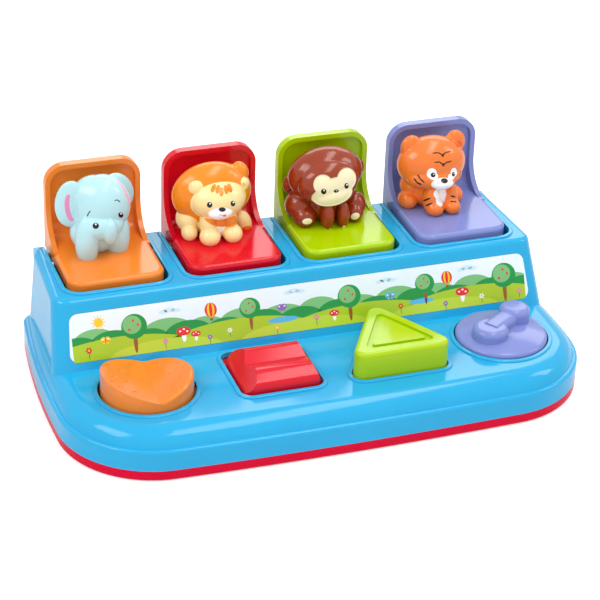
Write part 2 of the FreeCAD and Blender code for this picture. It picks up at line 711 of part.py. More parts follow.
def make_case_screws():
    screws = []
    for index, (x, y) in enumerate(boss_places()):
        screws.append(screw("case_screw%d" % index, x, y, at.screw_sunk - at.head_tall, at.head_tall,
                            at.screw_long - 3, at.screw, at.screw_head))
    finish("case_screws", group("case_screws", screws))


# ---------------------------------------------------------------- springs

def coil(name, start, rotation, length, radius, wire, turns):
    """A wire coil that starts at a point; its axis is the rotated Z axis."""
    helix = doc.addObject("Part::Helix", name + "_helix")
    size_of(helix, Radius=radius, Height=length, Pitch=length / turns)
    ring = doc.addObject("Part::Circle", name + "_ring")
    size_of(ring, Radius=wire)
    place(ring, radius, NONE, NONE, rotation=Rotation(X_AXIS, 90))
    sweep = doc.addObject("Part::Sweep", name)
    sweep.Sections = [ring]
    sweep.Spine = (helix, ["Edge1"])
    sweep.Solid = True
    sweep.Frenet = True
    place(sweep, *start, rotation=rotation)
    return sweep


def straight_coil(name, axis, start, length, radius, wire):
    """A compression spring between two faces."""
    step = {"x": (wire, NONE, NONE), "y": (NONE, wire, NONE), "z": (NONE, NONE, wire)}[axis]
    begin = [place_at + shift for place_at, shift in zip(start, step)]
    return coil(name, begin, AXES[axis], length - wire * 2, radius, wire, at.return_turns)


def make_hinge(animal, channel):
    """The pin and the torsion spring that throws the flap open."""
    centre = flap_x(channel)
    pin = rod("hinge_pin_" + animal, "x", (centre - at.pin_reach, at.hinge_y, at.hinge_z), at.pin_reach * 2,
              at.pin)
    finish("hinge_pin_" + animal, pin)
    name = "torsion_spring_" + animal
    long = at.coil_pitch * at.coil_turns
    begin = centre - long / 2
    turned = Rotation(Vector(1, 1, 1), 120)
    wound = coil(name + "_coil", (begin, at.hinge_y, at.hinge_z), turned, long, at.coil, at.coil_wire,
                 at.coil_turns)
    tail = rod(name + "_tail", "z", (begin, at.hinge_y + at.coil, at.hinge_z - at.coil_leg), at.coil_leg,
               at.coil_wire)
    arm = rod(name + "_arm", "y", (begin + long, at.hinge_y - at.coil_leg / 2, at.hinge_z + at.coil),
              at.coil_leg / 2, at.coil_wire)
    finish(name, fuse(name, [wound, tail, arm]))


# ---------------------------------------------------------------- flaps

def make_flap(animal, channel):
    """A seat and an upright lid in one moulding; lying down, the lid closes its well."""
    name = "flap_" + animal
    centre = flap_x(channel)
    low_x, high_x = centre - at.flap_half, centre + at.flap_half
    rim_face = at.panel_rear - at.panel_depth
    seat_low = at.seat_top - at.seat_depth
    swell = at.gusset_round
    panel = rounded(name + "_panel", block(name + "_panel_block", (low_x, high_x), (rim_face, at.panel_rear),
                                           (seat_low, at.panel_top)),
                    at.panel_corner, lambda edge: runs(edge, Y_AXIS) and level(edge, at.panel_top))
    seat = rounded(name + "_seat", block(name + "_seat_block", (low_x, high_x), (at.seat_front, rim_face + 1),
                                         (seat_low, at.seat_top)),
                   at.seat_corner, lambda edge: runs(edge, Z_AXIS) and middle(edge).y < at.seat_root.value)
    seat = rounded(name + "_seat_edge", seat, at.seat_round,
                   lambda edge: level(edge, at.seat_top) and middle(edge).y < at.seat_root.value)
    gusset = cut(name + "_gusset",
                 block(name + "_gusset_block", (low_x, high_x), (rim_face - swell, rim_face + 1),
                       (at.seat_top - 3, at.seat_top + swell)),
                 [rod(name + "_gusset_arc", "x", (low_x - 1, rim_face - swell, at.seat_top + swell),
                      at.flap_half * 2 + 2, swell)])
    knuckles = []
    for side, begin, end in (("left", low_x, centre - at.spring_bay),
                             ("right", centre + at.spring_bay, high_x)):
        knuckles.append(rod(name + "_barrel_" + side, "x", (begin, at.hinge_y, at.hinge_z), end - begin,
                            at.barrel))
        knuckles.append(block(name + "_neck_" + side, (begin, end),
                              (at.hinge_y - at.barrel, at.hinge_y + at.barrel), (at.hinge_z, seat_low + 1)))
        tab = begin if side == "right" else end - at.stop_wide
        stop_front = rim_face + at.stop_inset
        knuckles.append(block(name + "_stop_" + side, (tab, tab + at.stop_wide),
                              (stop_front, stop_front + at.stop_thick),
                              (at.notch_bottom + at.stop_gap, seat_low + 1)))

    recess = block(name + "_recess_block", (low_x + at.flap_rim, high_x - at.flap_rim),
                   (rim_face - swell - 4, rim_face + at.panel_recess),
                   (at.seat_top, at.panel_top - at.flap_rim))
    recess = rounded(name + "_recess_top", recess, at.panel_corner - at.flap_rim,
                     lambda edge: runs(edge, Y_AXIS) and level(edge, at.panel_top - at.flap_rim))
    inner_rear = value_of(rim_face + at.panel_recess)
    recess = rounded(name + "_recess", recess, at.seat_corner,
                     lambda edge: level(edge, at.seat_top) and abs(middle(edge).y - inner_rear) < 0.01)
    hollow_front = value_of(at.seat_front + at.seat_wall)
    hollow = rounded(name + "_hollow",
                     block(name + "_hollow_block", (low_x + at.seat_wall, high_x - at.seat_wall),
                           (at.seat_front + at.seat_wall, at.seat_root),
                           (seat_low - 1, at.seat_top - at.seat_wall)),
                     at.seat_corner - at.seat_wall,
                     lambda edge: runs(edge, Z_AXIS) and abs(middle(edge).y - hollow_front) < 0.01)
    removed = [recess, hollow, rod(name + "_bore", "x", (low_x - 1, at.hinge_y, at.hinge_z),
                                   at.flap_half * 2 + 2, at.pin + at.fit_gap)]
    for side, x in screw_places(centre):
        removed.append(rod(name + "_screw_hole_" + side, "z", (x, at.post_y, seat_low), at.seat_depth + 1,
                           at.screw + at.slack / 2))
    finish(name, cut(name, fuse(name + "_built", [panel, seat, gusset] + knuckles), removed))


def screw_places(centre):
    middle_x = centre + at.post_shift
    return (("left", middle_x - at.post_apart), ("right", middle_x + at.post_apart))


def make_figure_screws(animal, channel):
    screws = []
    for side, x in screw_places(flap_x(channel)):
        head_top = at.seat_top - at.seat_wall
        screws.append(screw("figure_screw_%s_%s" % (animal, side), x, at.post_y,
                            head_top - at.small_head_tall, at.small_head_tall, at.post_tall - 1,
                            at.screw, at.screw_head - 0.4))
    finish("figure_screws_" + animal, group("figure_screws_" + animal, screws))


def make_catch(animal, channel):
    """A leaf of spring steel: the closed seat's tip hooks behind its hump."""
    centre = flap_x(channel)
    name = "catch_" + animal
    low, high = at.floor, at.floor + at.catch_thick
    hump = at.catch_nose - at.catch_hump
    leaf = prism(name + "_leaf", "yz",
                 [(at.catch_front, high), (at.catch_front + 0.2, low),
                  (hump + 0.1, at.catch_top - at.catch_thick),
                  (at.catch_nose - at.catch_thick, at.catch_top - at.catch_thick),
                  (at.catch_nose - at.catch_thick, low), (at.catch_rear, low), (at.catch_rear, high),
                  (at.catch_nose, high), (at.catch_nose, at.catch_top), (hump, at.catch_top)],
                 centre - at.catch_half, centre + at.catch_half)
    hole = rod(name + "_hole", "z", (centre, at.catch_rear - at.stake_inset, low - 1), 3.0,
               at.stake + at.fit_gap)
    finish(name, cut(name, leaf, [hole]))


# ---------------------------------------------------------------- animals

# Each form is an ellipsoid: the middle (across from the well's middle, in front of the hinge, above the
# seat), the half sizes and the lean (yaw, pitch, roll) in degrees. The first form is the trunk.
FIGURES = {
    "elephant": (
        ((-3.0, 14.65, 10.5), (15.0, 12.0, 14.0), (0, 0, 0)),
        ((0.6, 16.15, 26.7), (16.2, 14.0, 18.4), (0, 0, 0)),
        ((-3.5, 14.15, 31.0), (13.5, 12.0, 13.2), (0, 0, 0)),
        ((-2.3, 22.15, 18.1), (13.8, 11.0, 9.2), (0, 0, 0)),
        ((-17.6, 15.15, 29.3), (8.8, 3.4, 14.6), (-18, 6, 0)),
        ((11.3, 11.65, 32.1), (9.0, 3.4, 13.2), (20, -34, 0)),
        ((1.4, 31.15, 16.7), (4.2, 4.6, 8.2), (0, 0, 10)),
        ((-10.8, 25.45, 9.5), (6.9, 6.9, 16.0), (0, 0, 0)),
        ((8.2, 20.15, 9.0), (7.2, 7.0, 16.0), (0, 0, 0)),
        ((-1.6, 18.15, 6.0), (4.2, 5.0, 8.0), (0, 0, 0)),
    ),
    "lion": (
        ((-2.5, 14.65, 10.5), (13.0, 11.0, 14.0), (0, 0, 0)),
        ((-3.6, 13.15, 24.5), (23.8, 12.5, 19.0), (0, 0, 0)),
        ((13.4, 13.15, 35.9), (5.0, 5.0, 6.4), (0, -20, 0)),
        ((-2.2, 21.15, 23.9), (16.3, 11.5, 11.5), (0, 0, 0)),
        ((-15.3, 21.15, 32.7), (4.3, 2.6, 4.4), (-14, 0, 0)),
        ((14.0, 19.15, 30.7), (3.6, 2.6, 3.9), (25, 0, 0)),
        ((-3.3, 30.45, 19.7), (7.4, 3.4, 4.0), (0, 0, 0)),
        ((-2.4, 22.15, 7.5), (6.0, 5.0, 8.0), (0, 0, 0)),
        ((-9.0, 24.65, 10.5), (5.0, 5.5, 8.0), (0, 0, 0)),
        ((4.4, 23.65, 10.5), (4.4, 5.2, 8.0), (0, 0, 0)),
        ((-8.8, 28.45, 4.1), (6.2, 6.2, 5.6), (0, 0, 0)),
        ((5.0, 27.85, 4.1), (5.8, 6.2, 5.6), (0, 0, 0)),
        ((-18.4, 13.65, 10.0), (6.5, 8.0, 8.0), (0, 0, 0)),
        ((-18.7, 19.85, 4.1), (4.8, 5.6, 5.2), (0, 0, 0)),
        ((15.8, 15.65, 4.3), (4.4, 3.6, 7.6), (0, -20, 0)),
    ),
    "monkey": (
        ((-4.0, 14.65, 11.0), (13.0, 11.0, 13.0), (0, 0, 0)),
        ((-4.4, 14.15, 28.3), (22.9, 14.2, 16.6), (0, -5, 0)),
        ((-5.5, 23.15, 27.1), (18.6, 10.0, 13.6), (0, -6, 0)),
        ((-3.6, 26.15, 21.1), (13.5, 7.6, 8.0), (0, -6, 0)),
        ((-24.4, 9.65, 21.9), (4.3, 2.8, 6.0), (0, 0, 0)),
        ((17.5, 9.65, 27.5), (4.3, 2.8, 6.0), (0, 0, 0)),
        ((-6.6, 27.45, 7.5), (4.2, 5.6, 9.0), (0, 0, 0)),
        ((2.8, 27.75, 7.3), (3.9, 5.6, 9.0), (0, 0, 0)),
        ((-20.1, 14.65, 10.0), (8.5, 9.0, 9.0), (0, 0, 0)),
        ((-18.6, 20.65, 5.7), (7.2, 8.0, 6.8), (0, 0, 0)),
        ((13.0, 18.15, 8.0), (7.4, 8.0, 8.2), (0, 0, 0)),
        ((11.6, 22.15, 5.5), (6.0, 7.0, 6.2), (0, 0, 0)),
    ),
    "tiger": (
        ((-5.5, 13.65, 10.5), (13.0, 11.0, 13.0), (0, 0, 0)),
        ((-7.3, 14.65, 27.5), (21.2, 14.6, 16.6), (0, 0, 0)),
        ((-7.6, 20.65, 22.0), (17.6, 10.5, 8.0), (0, 0, 0)),
        ((-20.0, 13.15, 38.3), (6.8, 3.8, 7.5), (0, 0, 0)),
        ((8.4, 11.65, 37.7), (6.6, 3.8, 7.6), (0, 0, 0)),
        ((-5.0, 29.05, 20.1), (7.4, 4.0, 3.8), (0, 0, 0)),
        ((-4.4, 22.65, 9.5), (7.0, 5.0, 8.0), (0, 0, 0)),
        ((-10.0, 25.05, 8.5), (5.4, 5.8, 9.4), (0, 0, 0)),
        ((2.3, 24.45, 8.5), (4.8, 5.6, 9.4), (0, 0, 0)),
        ((-8.9, 28.25, 3.9), (5.6, 6.4, 5.0), (0, 0, 0)),
        ((2.1, 28.45, 3.9), (5.2, 6.2, 4.9), (0, 0, 0)),
        ((-15.5, 10.65, 12.5), (9.0, 8.0, 8.0), (0, 0, 0)),
        ((-20.6, 14.15, 4.5), (6.1, 7.2, 5.8), (0, 0, 0)),
        ((8.9, 15.45, 4.7), (5.2, 6.4, 5.4), (0, 0, 0)),
    ),
}
SEAMS = {"elephant": -90, "lion": -90, "monkey": 90, "tiger": -90}


def make_figure(animal, channel):
    """An animal moulding: rounded forms on the seat, hollow in the trunk, with two screw posts."""
    name = "figure_" + animal
    centre = flap_x(channel)
    forms = []
    for index, ((across, rear, up), half, lean) in enumerate(FIGURES[animal]):
        forms.append(egg("%s_form%d" % (name, index), (centre + across, at.hinge_y - rear, at.seat_top + up),
                         half, lean, SEAMS[animal]))
    below = block(name + "_below", (centre - at.flap_pitch / 2, centre + at.flap_pitch / 2),
                  (at.well_front, at.tier_rear), (at.seat_top - at.panel_corner * 2, at.seat_top))
    core_x = centre + at.post_shift
    core_low = at.seat_top - 2
    core = rod(name + "_core", "z", (core_x, at.post_y, core_low), at.core_tall, at.core)
    vault = doc.addObject("Part::Sphere", name + "_vault")
    size_of(vault, Radius=at.core)
    place(vault, core_x, at.post_y, core_low + at.core_tall)
    solid = chain(name + "_forms", forms)
    for step, tool in (("foot", below), ("bored", core), ("vaulted", vault)):
        solid = plain_cut("%s_%s" % (name, step), solid, tool)
    bores = []
    for side, post_x in screw_places(centre):
        post = rod(name + "_post_" + side, "z", (post_x, at.post_y, at.seat_top), at.post_tall, at.post)
        solid = chain(name + "_posted_" + side, [solid, post])
        bores.append(rod(name + "_bore_" + side, "z", (post_x, at.post_y, at.seat_top - 1), at.post_tall,
                         at.screw + at.fit_gap))
    for side, bore in zip(("left", "right"), bores):
        solid = plain_cut("%s_drilled_%s" % (name, side), solid, bore)
    finish(name, solid)


# ---------------------------------------------------------------- release bars

def bar_spring(name, channel):
    """The spring between a bar's ear and the tray's gate."""
    lift = at.bar_low + at.bar_thick + at.return_coil + at.return_wire + 0.05
    finish(name, straight_coil(name, "y", (flap_x(channel), at.ear_y, lift), at.rib_y - at.ear_y,
                               at.return_coil, at.return_wire))


def bar_solids(name, channel, front):
    """A flat bar under the deck that presses the catch, with an ear for its spring."""
    centre = flap_x(channel)
    top = at.bar_low + at.bar_thick
    bar = block(name + "_strip", (centre - at.bar_half, centre + at.bar_half), (front, at.bar_rear),
                (at.bar_low, top))
    ear = block(name + "_ear", (centre - at.bar_ear_half, centre + at.bar_ear_half),
                (at.ear_y - at.bar_ear, at.ear_y), (top - 1, top + at.bar_ear_rise))
    return [bar, ear]


# ---------------------------------------------------------------- rocker

# Dimples in the rocker's top: across and to the rear of its middle, half sizes and turn in degrees.
OVAL = (2.5, 1.3, 1.1)
DOT = (1.3, 1.3, 1.1)
ROCKER_MARKS = ((-17, -12, OVAL, -20), (-11, -4, OVAL, 0), (-18, 0, OVAL, 20), (-11, 9, OVAL, -20),
                (-17, 13, OVAL, 0), (-10, -15, OVAL, 20), (-20, -6, OVAL, 0),
                (10, -12, DOT, 0), (16, -7, DOT, 0), (20, 1, DOT, 0), (12, 1, DOT, 0), (17, 9, DOT, 0),
                (11, 13, DOT, 0), (19, -14, DOT, 0), (13, -19, DOT, 0))


def make_rocker():
    """A round rocker with a valley across its top that dips to the rear; it tips sideways on its pin."""
    x, y = control_x(0), at.control_y
    side = at.rocker_radius
    tall = at.rocker_valley + at.rocker_rise + 3 - at.rocker_low
    lean = Rotation(Z_AXIS, -at.rocker_skew.value).multiply(Rotation(X_AXIS, -at.rocker_dip.value))
    dip = tangent_of(at.rocker_dip)
    skew = tangent_of(at.rocker_skew)
    slope = at.rocker_rise / side

    def valley(name, drop):
        edge, over = side + 6, at.rocker_rise + 12
        item = prism(name, "xz", [(NONE, -drop), (edge, slope * edge - drop), (edge, over), (-edge, over),
                                  (-edge, slope * edge - drop)], -at.wall, side * 2 + 6)
        place(item, x, y - side, at.rocker_valley, rotation=lean)
        return item

    skin = cone("rocker_skin", (x, y, at.rocker_low), tall, side, side - at.rocker_draft)
    cap = cut("rocker_cap", skin, [valley("rocker_valley", NONE)])
    cap = rounded("rocker_soft", cap, at.wall * 0.8, lambda edge: middle(edge).z > at.skirt_top.value
                  and not runs(edge, Y_AXIS))
    inside = cone("rocker_inside", (x, y, at.rocker_low - 1), tall, side - at.wall,
                  side - at.wall - at.rocker_draft)
    room = cut("rocker_room", inside, [valley("rocker_inner_valley", at.wall)])
    shell = cut("rocker_shell", cap, [room])
    half_tube = side - 0.5
    tube = rod("rocker_tube", "y", (x, y - half_tube, at.rocker_pivot), half_tube * 2, at.rocker_tube)
    arm = block("rocker_arm", (x - at.arm, x + at.arm), (y - at.arm, y + at.arm),
                (at.arm_low, at.rocker_pivot))
    rib = block("rocker_rib", (x - 1, x + 1), (y - half_tube, y + half_tube),
                (at.rocker_pivot, at.rocker_valley - dip * side * 2 - at.wall + 0.3))
    bore = rod("rocker_bore", "y", (x, y - side - 2, at.rocker_pivot), side * 2 + 4, at.pin + at.fit_gap)
    marks = []
    for index, (across, rear, half, turn) in enumerate(ROCKER_MARKS):
        centre = across - skew * (side + rear)
        rise = slope * centre if across > 0 else -slope * centre
        mark_z = at.rocker_valley + rise - dip * (side + rear) + half[2] * 0.5
        marks.append(egg("rocker_mark%d" % index, (x + across, y + rear, mark_z), half, (turn, 0, 0)))
    built = fuse("rocker_built", [shell, tube, arm, rib])
    finish("rocker_button", cut("rocker_button", built, [bore] + marks))
    reach = at.hole + at.ear_gap + at.ear - 0.2
    finish("rocker_pin", rod("rocker_pin", "y", (x, y - reach, at.rocker_pivot), reach * 2, at.pin))


def make_rocker_lever():
    """A lever that turns the rocker's swing into a push at the catch."""
    x, y = control_x(0), at.control_y
    low, top = at.bar_low, at.bar_low + at.bar_thick
    slot = at.arm + at.slack * 1.5
    stem = block("lever_stem", (x - 4, x + 4), (y + at.arm + 2.5, at.bar_rear - 6), (low, top))
    hub = rod("lever_hub", "z", (x, at.lever_y, low), at.bar_thick, at.lever_hub)
    tip = block("lever_tip", (flap_x(0) - at.bar_half, flap_x(0) + at.bar_half),
                (at.bar_rear - 7, at.bar_rear), (low, top))
    fork = block("lever_fork", (x - slot - 3, x + slot + 3), (y - at.arm - 1, y + at.arm + 4), (low, top))
    gap = block("lever_gap", (x - slot, x + slot), (y - at.arm - 2, y + at.arm + 1.5), (low - 1, top + 1))
    bore = rod("lever_bore", "z", (x, at.lever_y, low - 1), at.bar_thick + 2, at.lever_stud + at.fit_gap)
    finish("rocker_lever", cut("rocker_lever", fuse("lever_built", [stem, hub, tip, fork]), [gap, bore]))
    head = rod("lever_screw_head", "z", (x, at.lever_y, top + at.slack), at.small_head_tall,
               at.screw_head + 1)
    shank = rod("lever_screw_shank", "z", (x, at.lever_y, at.floor - 0.2), top + 0.5 - at.floor,
                at.lever_screw - at.fit_gap)
    finish("lever_screw", fuse("lever_screw", [head, shank]))
    coils = [straight_coil("rocker_spring_" + side, "x", (start, y, at.side_spring_z),
                           at.side_spring - at.arm, at.return_coil * 0.9, at.return_wire)
             for side, start in (("left", x - at.side_spring), ("right", x + at.arm))]
    finish("rocker_springs", group("rocker_springs", coils))


# ---------------------------------------------------------------- slide button

def make_slider():
    """A block with two finger ridges, held by a flange under the deck; its bar is screwed below."""
    x = control_x(1) + at.slot_shift
    foot = at.deck_top - at.wall - at.flange_gap - at.flange
    crest_front, crest_rear = at.ridge_front, at.ridge_rear
    side_view = prism("slider_side", "yz",
                      [(at.block_front, foot), (at.block_rear, foot), (at.block_rear, at.block_nose),
                       (crest_rear, at.ridge), ((crest_front + crest_rear) / 2, at.valley),
                       (crest_front, at.ridge), (at.block_front, at.block_nose)],
                      x - at.block_half - 2, x + at.block_half + 2)
    for radius, line, height in ((at.nose_round, at.block_front, at.block_nose),
                                 (at.nose_round, at.block_rear, at.block_nose),
                                 (at.front_round, crest_front, at.ridge),
                                 (at.rear_round, crest_rear, at.ridge)):
        round_body(side_view, radius, lambda edge: runs(edge, X_AXIS)
                   and abs(middle(edge).y - line.value) < 0.01
                   and abs(middle(edge).z - height.value) < 0.01)
    level_top = at.ridge + 1
    front_view = prism("slider_front", "xz",
                       [(x - at.block_half, foot), (x + at.block_half, foot),
                        (x + at.block_half, at.deck_top),
                        (x + at.block_half - at.lean_right, level_top),
                        (x - at.block_half + at.lean_left, level_top), (x - at.block_half, at.deck_top)],
                       at.block_front - 2, at.block_rear + 2)
    round_body(front_view, at.side_round, lambda edge: runs(edge, Y_AXIS) and middle(edge).z > foot.value + 1)
    plan = round_prism("slider_plan", rectangle(x - at.block_half, x + at.block_half, at.block_front,
                                                at.block_rear), at.block_corner, foot, level_top + 2)
    form = doc.addObject("Part::MultiCommon", "slider_form")
    form.Shapes = [side_view, front_view, plan]
    flange = block("slider_flange", (x - at.slot_half - at.flange_reach, x + at.slot_half + at.flange_reach),
                   (at.slot_front - at.flange_reach - at.slide_travel, at.slot_rear - 1),
                   (foot, foot + at.flange))
    room = block("slider_room", (x - at.block_half + at.lean_left, x + at.block_half - at.lean_right - 1),
                 (at.block_front + at.wall, at.block_rear - at.wall), (foot - 1, at.valley - at.wall))
    rib = block("slider_rib", (x - 2.6, x + 3.0), (at.block_front + 1, at.block_rear - 1),
                (foot, at.valley - 1))
    centre = flap_x(1)
    bar_top = at.bar_low + at.bar_thick
    posts = [rod("slide_post_" + end, "z", (centre + at.slide_post_shift, y, bar_top - 0.5),
                 foot - bar_top + 0.5, at.slide_post)
             for end, y in (("front", at.slide_post_front), ("rear", at.slide_post_rear))]
    finish("slide_button", fuse("slide_button", [cut("slider_shell", form, [room]), flange, rib]))
    finish("slide_bar", fuse("slide_bar", bar_solids("slide_bar", 1, at.slide_bar_front) + posts))
    bar_spring("slide_spring", 1)


# ---------------------------------------------------------------- push button

def make_pusher():
    """A three-sided push button with a groove round its top; a wedge under it drives its bar."""
    x = control_x(2) + at.prism_shift
    centre = flap_x(2)
    grow = 3.4641

    def three(name, inset, corner, low, high):
        return round_prism(name, triangle(x, at.prism_front + inset, at.prism_side - inset * grow), corner,
                           low, high)

    body = three("pusher_body", NONE, at.prism_corner, at.prism_low, at.prism_top)
    body = rounded("pusher_soft", body, at.wall, lambda edge: level(edge, at.prism_top))
    foot = at.deck_top - at.wall - at.flange_gap - at.flange
    flange = three("pusher_flange", -at.flange_reach, at.prism_corner + at.flange_reach, foot,
                   foot + at.flange)
    inner = at.groove_inset + at.groove_width
    trench = cut("pusher_trench",
                 three("pusher_trench_out", at.groove_inset, at.groove_corner, at.prism_top - at.groove_deep,
                       at.prism_top + 1),
                 [three("pusher_trench_in", inner, at.groove_corner / 2, at.prism_top - at.groove_deep - 1,
                        at.prism_top + 2)])
    room = three("pusher_room", at.wall, at.prism_corner - at.wall, at.prism_low - 1,
                 at.prism_top - at.groove_deep - at.wall)
    shell = cut("pusher_shell", fuse("pusher_solid", [body, flange]), [trench, room])
    front = at.wedge_front
    rear = front + at.wedge_deep
    roof = at.prism_top - at.groove_deep - at.wall + 0.5
    heel = at.wedge_low + at.wedge_line
    wedge = prism("pusher_wedge", "yz", [(front, roof), (front, at.wedge_low), (heel, at.wedge_low),
                                         (rear, rear - at.wedge_line), (rear, roof)],
                  centre - at.wedge_half, centre + at.wedge_half)
    pad_y = at.prism_front + at.spring_inset
    tube = rod("pusher_tube", "z", (x, pad_y, at.spring_seat), roof - at.spring_seat, at.spring_tube)
    finish("push_button", fuse("push_button", [shell, wedge, tube]))
    finish("push_spring", straight_coil("push_spring", "z", (x, pad_y, at.floor), at.spring_seat - at.floor,
                                        at.push_coil, at.return_wire))
    slope = at.wedge_line + at.wedge_gap
    low, high = at.bar_low, at.nose_top
    nose = prism("push_bar_nose", "yz", [(low + slope, low), (at.nose_rear, low), (at.nose_rear, high),
                                         (high + slope, high)], centre - at.bar_half, centre + at.bar_half)
    finish("push_bar", fuse("push_bar", bar_solids("push_bar", 2, at.push_bar_front) + [nose]))
    bar_spring("push_bar_spring", 2)


# ---------------------------------------------------------------- dial

def make_dial():
    """A domed dial with a two-lobed grip; a crank under its cup drives its bar."""
    x, y = control_x(3), at.control_y
    drum = rod("dial_drum", "z", (x, y, at.dial_low), at.dial_top + 4 - at.dial_low, at.dial_radius)
    swell = at.dial_radius * at.dial_radius / ((at.dial_top - at.dial_edge) * 2)
    ball = doc.addObject("Part::Sphere", "dial_ball")
    size_of(ball, Radius=swell)
    place(ball, x, y, at.dial_top - swell)
    dome = doc.addObject("Part::MultiCommon", "dial_dome")
    dome.Shapes = [drum, ball]
    dome = rounded("dial_soft", dome, at.dial_round, lambda edge: level(edge, at.dial_edge, 0.3))
    foot = at.dial_edge - 3
    grips = []
    for end, radius, top in (("front", at.grip_front, at.grip_low), ("rear", at.grip_rear, at.grip_high)):
        across, rear = LOBES[end]
        lobe = rod("dial_lobe_" + end, "z", (x + across, y + rear, foot), top - foot, radius)
        grips.append(rounded("dial_soft_" + end, lobe, at.grip_round, lambda edge: level(edge, top)))
    across, rear = LOBES["front"]
    turn = math.atan2(LOBES["rear"][1] - rear, LOBES["rear"][0] - across)
    half_waist = at.grip_waist / 2
    waist = doc.addObject("Part::Box", "dial_waist")
    waist_top = (at.grip_low + at.grip_high) / 2 - at.waist_drop
    size_of(waist, Length=at.waist_long, Width=at.grip_waist, Height=waist_top - foot)
    place(waist, x + across + half_waist * math.sin(turn), y + rear - half_waist * math.cos(turn), foot,
          rotation=Rotation(Z_AXIS, math.degrees(turn)))
    along = Vector(math.cos(turn), math.sin(turn), 0)
    grips.append(rounded("dial_soft_waist", waist, at.grip_round,
                         lambda edge: runs(edge, along) and level(edge, waist_top)))
    grip = fuse("dial_grip", grips)
    room = rod("dial_room", "z", (x, y, at.dial_low - 1), at.dial_edge - at.wall - at.dial_low + 1,
               at.dial_radius - at.wall)
    crank_top = at.crank_low + at.crank_thick
    hub = rod("dial_hub", "z", (x, y, crank_top), at.dial_edge - at.crank_low - at.crank_thick, at.hub)
    bore = rod("dial_bore", "z", (x, y, at.crank_low), at.dial_screw_long + 2, at.screw + at.fit_gap)
    shell = cut("dial_shell", fuse("dial_solid", [dome, grip]), [room])
    finish("turn_dial", cut("turn_dial", fuse("dial_built", [shell, hub]), [bore]))

    plate = rod("dial_crank_plate", "z", (x, y, at.crank_low), at.crank_thick, at.crank_radius)
    pin = rod("dial_crank_pin", "z", (x - at.crank_throw, y, at.crank_pin_low),
              at.crank_low + 0.5 - at.crank_pin_low, at.crank_pin)
    hole = rod("dial_crank_hole", "z", (x, y, at.crank_low - 1), at.crank_thick + 2, at.screw + at.fit_gap)
    finish("dial_crank", cut("dial_crank", fuse("dial_crank_built", [plate, pin]), [hole]))
    finish("dial_screw", screw("dial_screw", x, y, at.crank_low - at.small_head_tall, at.small_head_tall,
                               at.dial_screw_long, at.screw, at.screw_head))

    low, top = at.bar_low, at.bar_low + at.bar_thick
    reach = at.crank_pin + at.crank_slack
    slot_x = x - at.crank_throw
    head = block("dial_bar_head", (slot_x - reach - 3, x + 3.5), (y - reach - 2.6, y + reach + 2.6),
                 (low, top))
    slot = block("dial_bar_slot", (slot_x - reach, slot_x + 2 + reach), (y - reach, y + reach),
                 (low - 1, top + 1))
    built = fuse("dial_bar_built", bar_solids("dial_bar", 3, y + 2) + [head])
    finish("dial_bar", cut("dial_bar", built, [slot]))
    bar_spring("dial_spring", 3)


# ---------------------------------------------------------------- build

make_housing()
make_sticker()
make_tray()
make_case_screws()
for channel, animal in enumerate(ANIMALS):
    make_hinge(animal, channel)
    make_flap(animal, channel)
    make_figure_screws(animal, channel)
    make_catch(animal, channel)
    make_figure(animal, channel)
make_rocker()
make_rocker_lever()
make_slider()
make_pusher()
make_dial()
doc.recompute()

for item in doc.Objects:
    if "Invalid" in item.State or "Error" in item.State:
        raise RuntimeError("%s was not computed" % item.Name)
    solid = hasattr(item, "Shape") and not item.isDerivedFrom("Sketcher::SketchObject")
    if solid and not item.Shape.isNull() and not item.Shape.isValid():
        raise RuntimeError("%s is not a valid shape" % item.Name)

os.makedirs("parts", exist_ok=True)
for label, item in SUBPARTS.items():
    item.Shape.exportStep(os.path.join("parts", label + ".step"))
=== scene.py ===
"""Finishes for a pop up animal toy: four sprung flaps with animals, and four controls that open them."""
import math

import bmesh
import bpy
from bpy.props import FloatProperty, FloatVectorProperty, IntProperty, PointerProperty
from mathutils import Euler, Matrix, Vector


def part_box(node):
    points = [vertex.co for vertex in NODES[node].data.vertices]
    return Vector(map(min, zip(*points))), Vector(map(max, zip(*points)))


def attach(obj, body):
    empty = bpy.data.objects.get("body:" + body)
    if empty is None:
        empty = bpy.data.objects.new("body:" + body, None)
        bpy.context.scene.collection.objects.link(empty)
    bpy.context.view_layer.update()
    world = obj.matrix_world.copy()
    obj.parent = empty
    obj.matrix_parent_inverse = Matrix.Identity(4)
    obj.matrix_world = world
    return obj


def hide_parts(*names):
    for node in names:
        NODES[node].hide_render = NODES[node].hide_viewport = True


bl_info = {
    "name": "Pop Up Animal Toy",
    "version": (1, 0, 0),
    "blender": (4, 5, 0),
    "location": "3D View > Sidebar > Toy",
    "description": "Dresses the packed toy with its plastics, its painted animals and its printed scene",
    "category": "Object",
}

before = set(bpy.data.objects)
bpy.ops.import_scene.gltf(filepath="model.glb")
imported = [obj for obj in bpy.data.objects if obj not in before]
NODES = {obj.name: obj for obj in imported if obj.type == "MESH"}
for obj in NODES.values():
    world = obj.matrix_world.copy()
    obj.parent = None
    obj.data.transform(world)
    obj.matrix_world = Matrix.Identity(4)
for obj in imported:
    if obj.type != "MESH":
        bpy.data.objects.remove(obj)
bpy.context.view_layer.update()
MM = 0.001
ANIMALS = ("elephant", "lion", "monkey", "tiger")
UPRIGHT = (0, 0, 0)

# Paint on the animals: how deep a dab reaches, in millimetres, how far a form's own coat stands out past
# the form, how soft the edges are as shares of a dab, and the half length of a stroke's dabs as a share of
# the way between its points.
PAINT_DEEP = 9
COAT = 1.045
COAT_EDGE = 0.01
DAB_EDGE = 0.03
EYE_EDGE = 0.06
STROKE_EDGE = 0.08
STROKE_REACH = 0.58

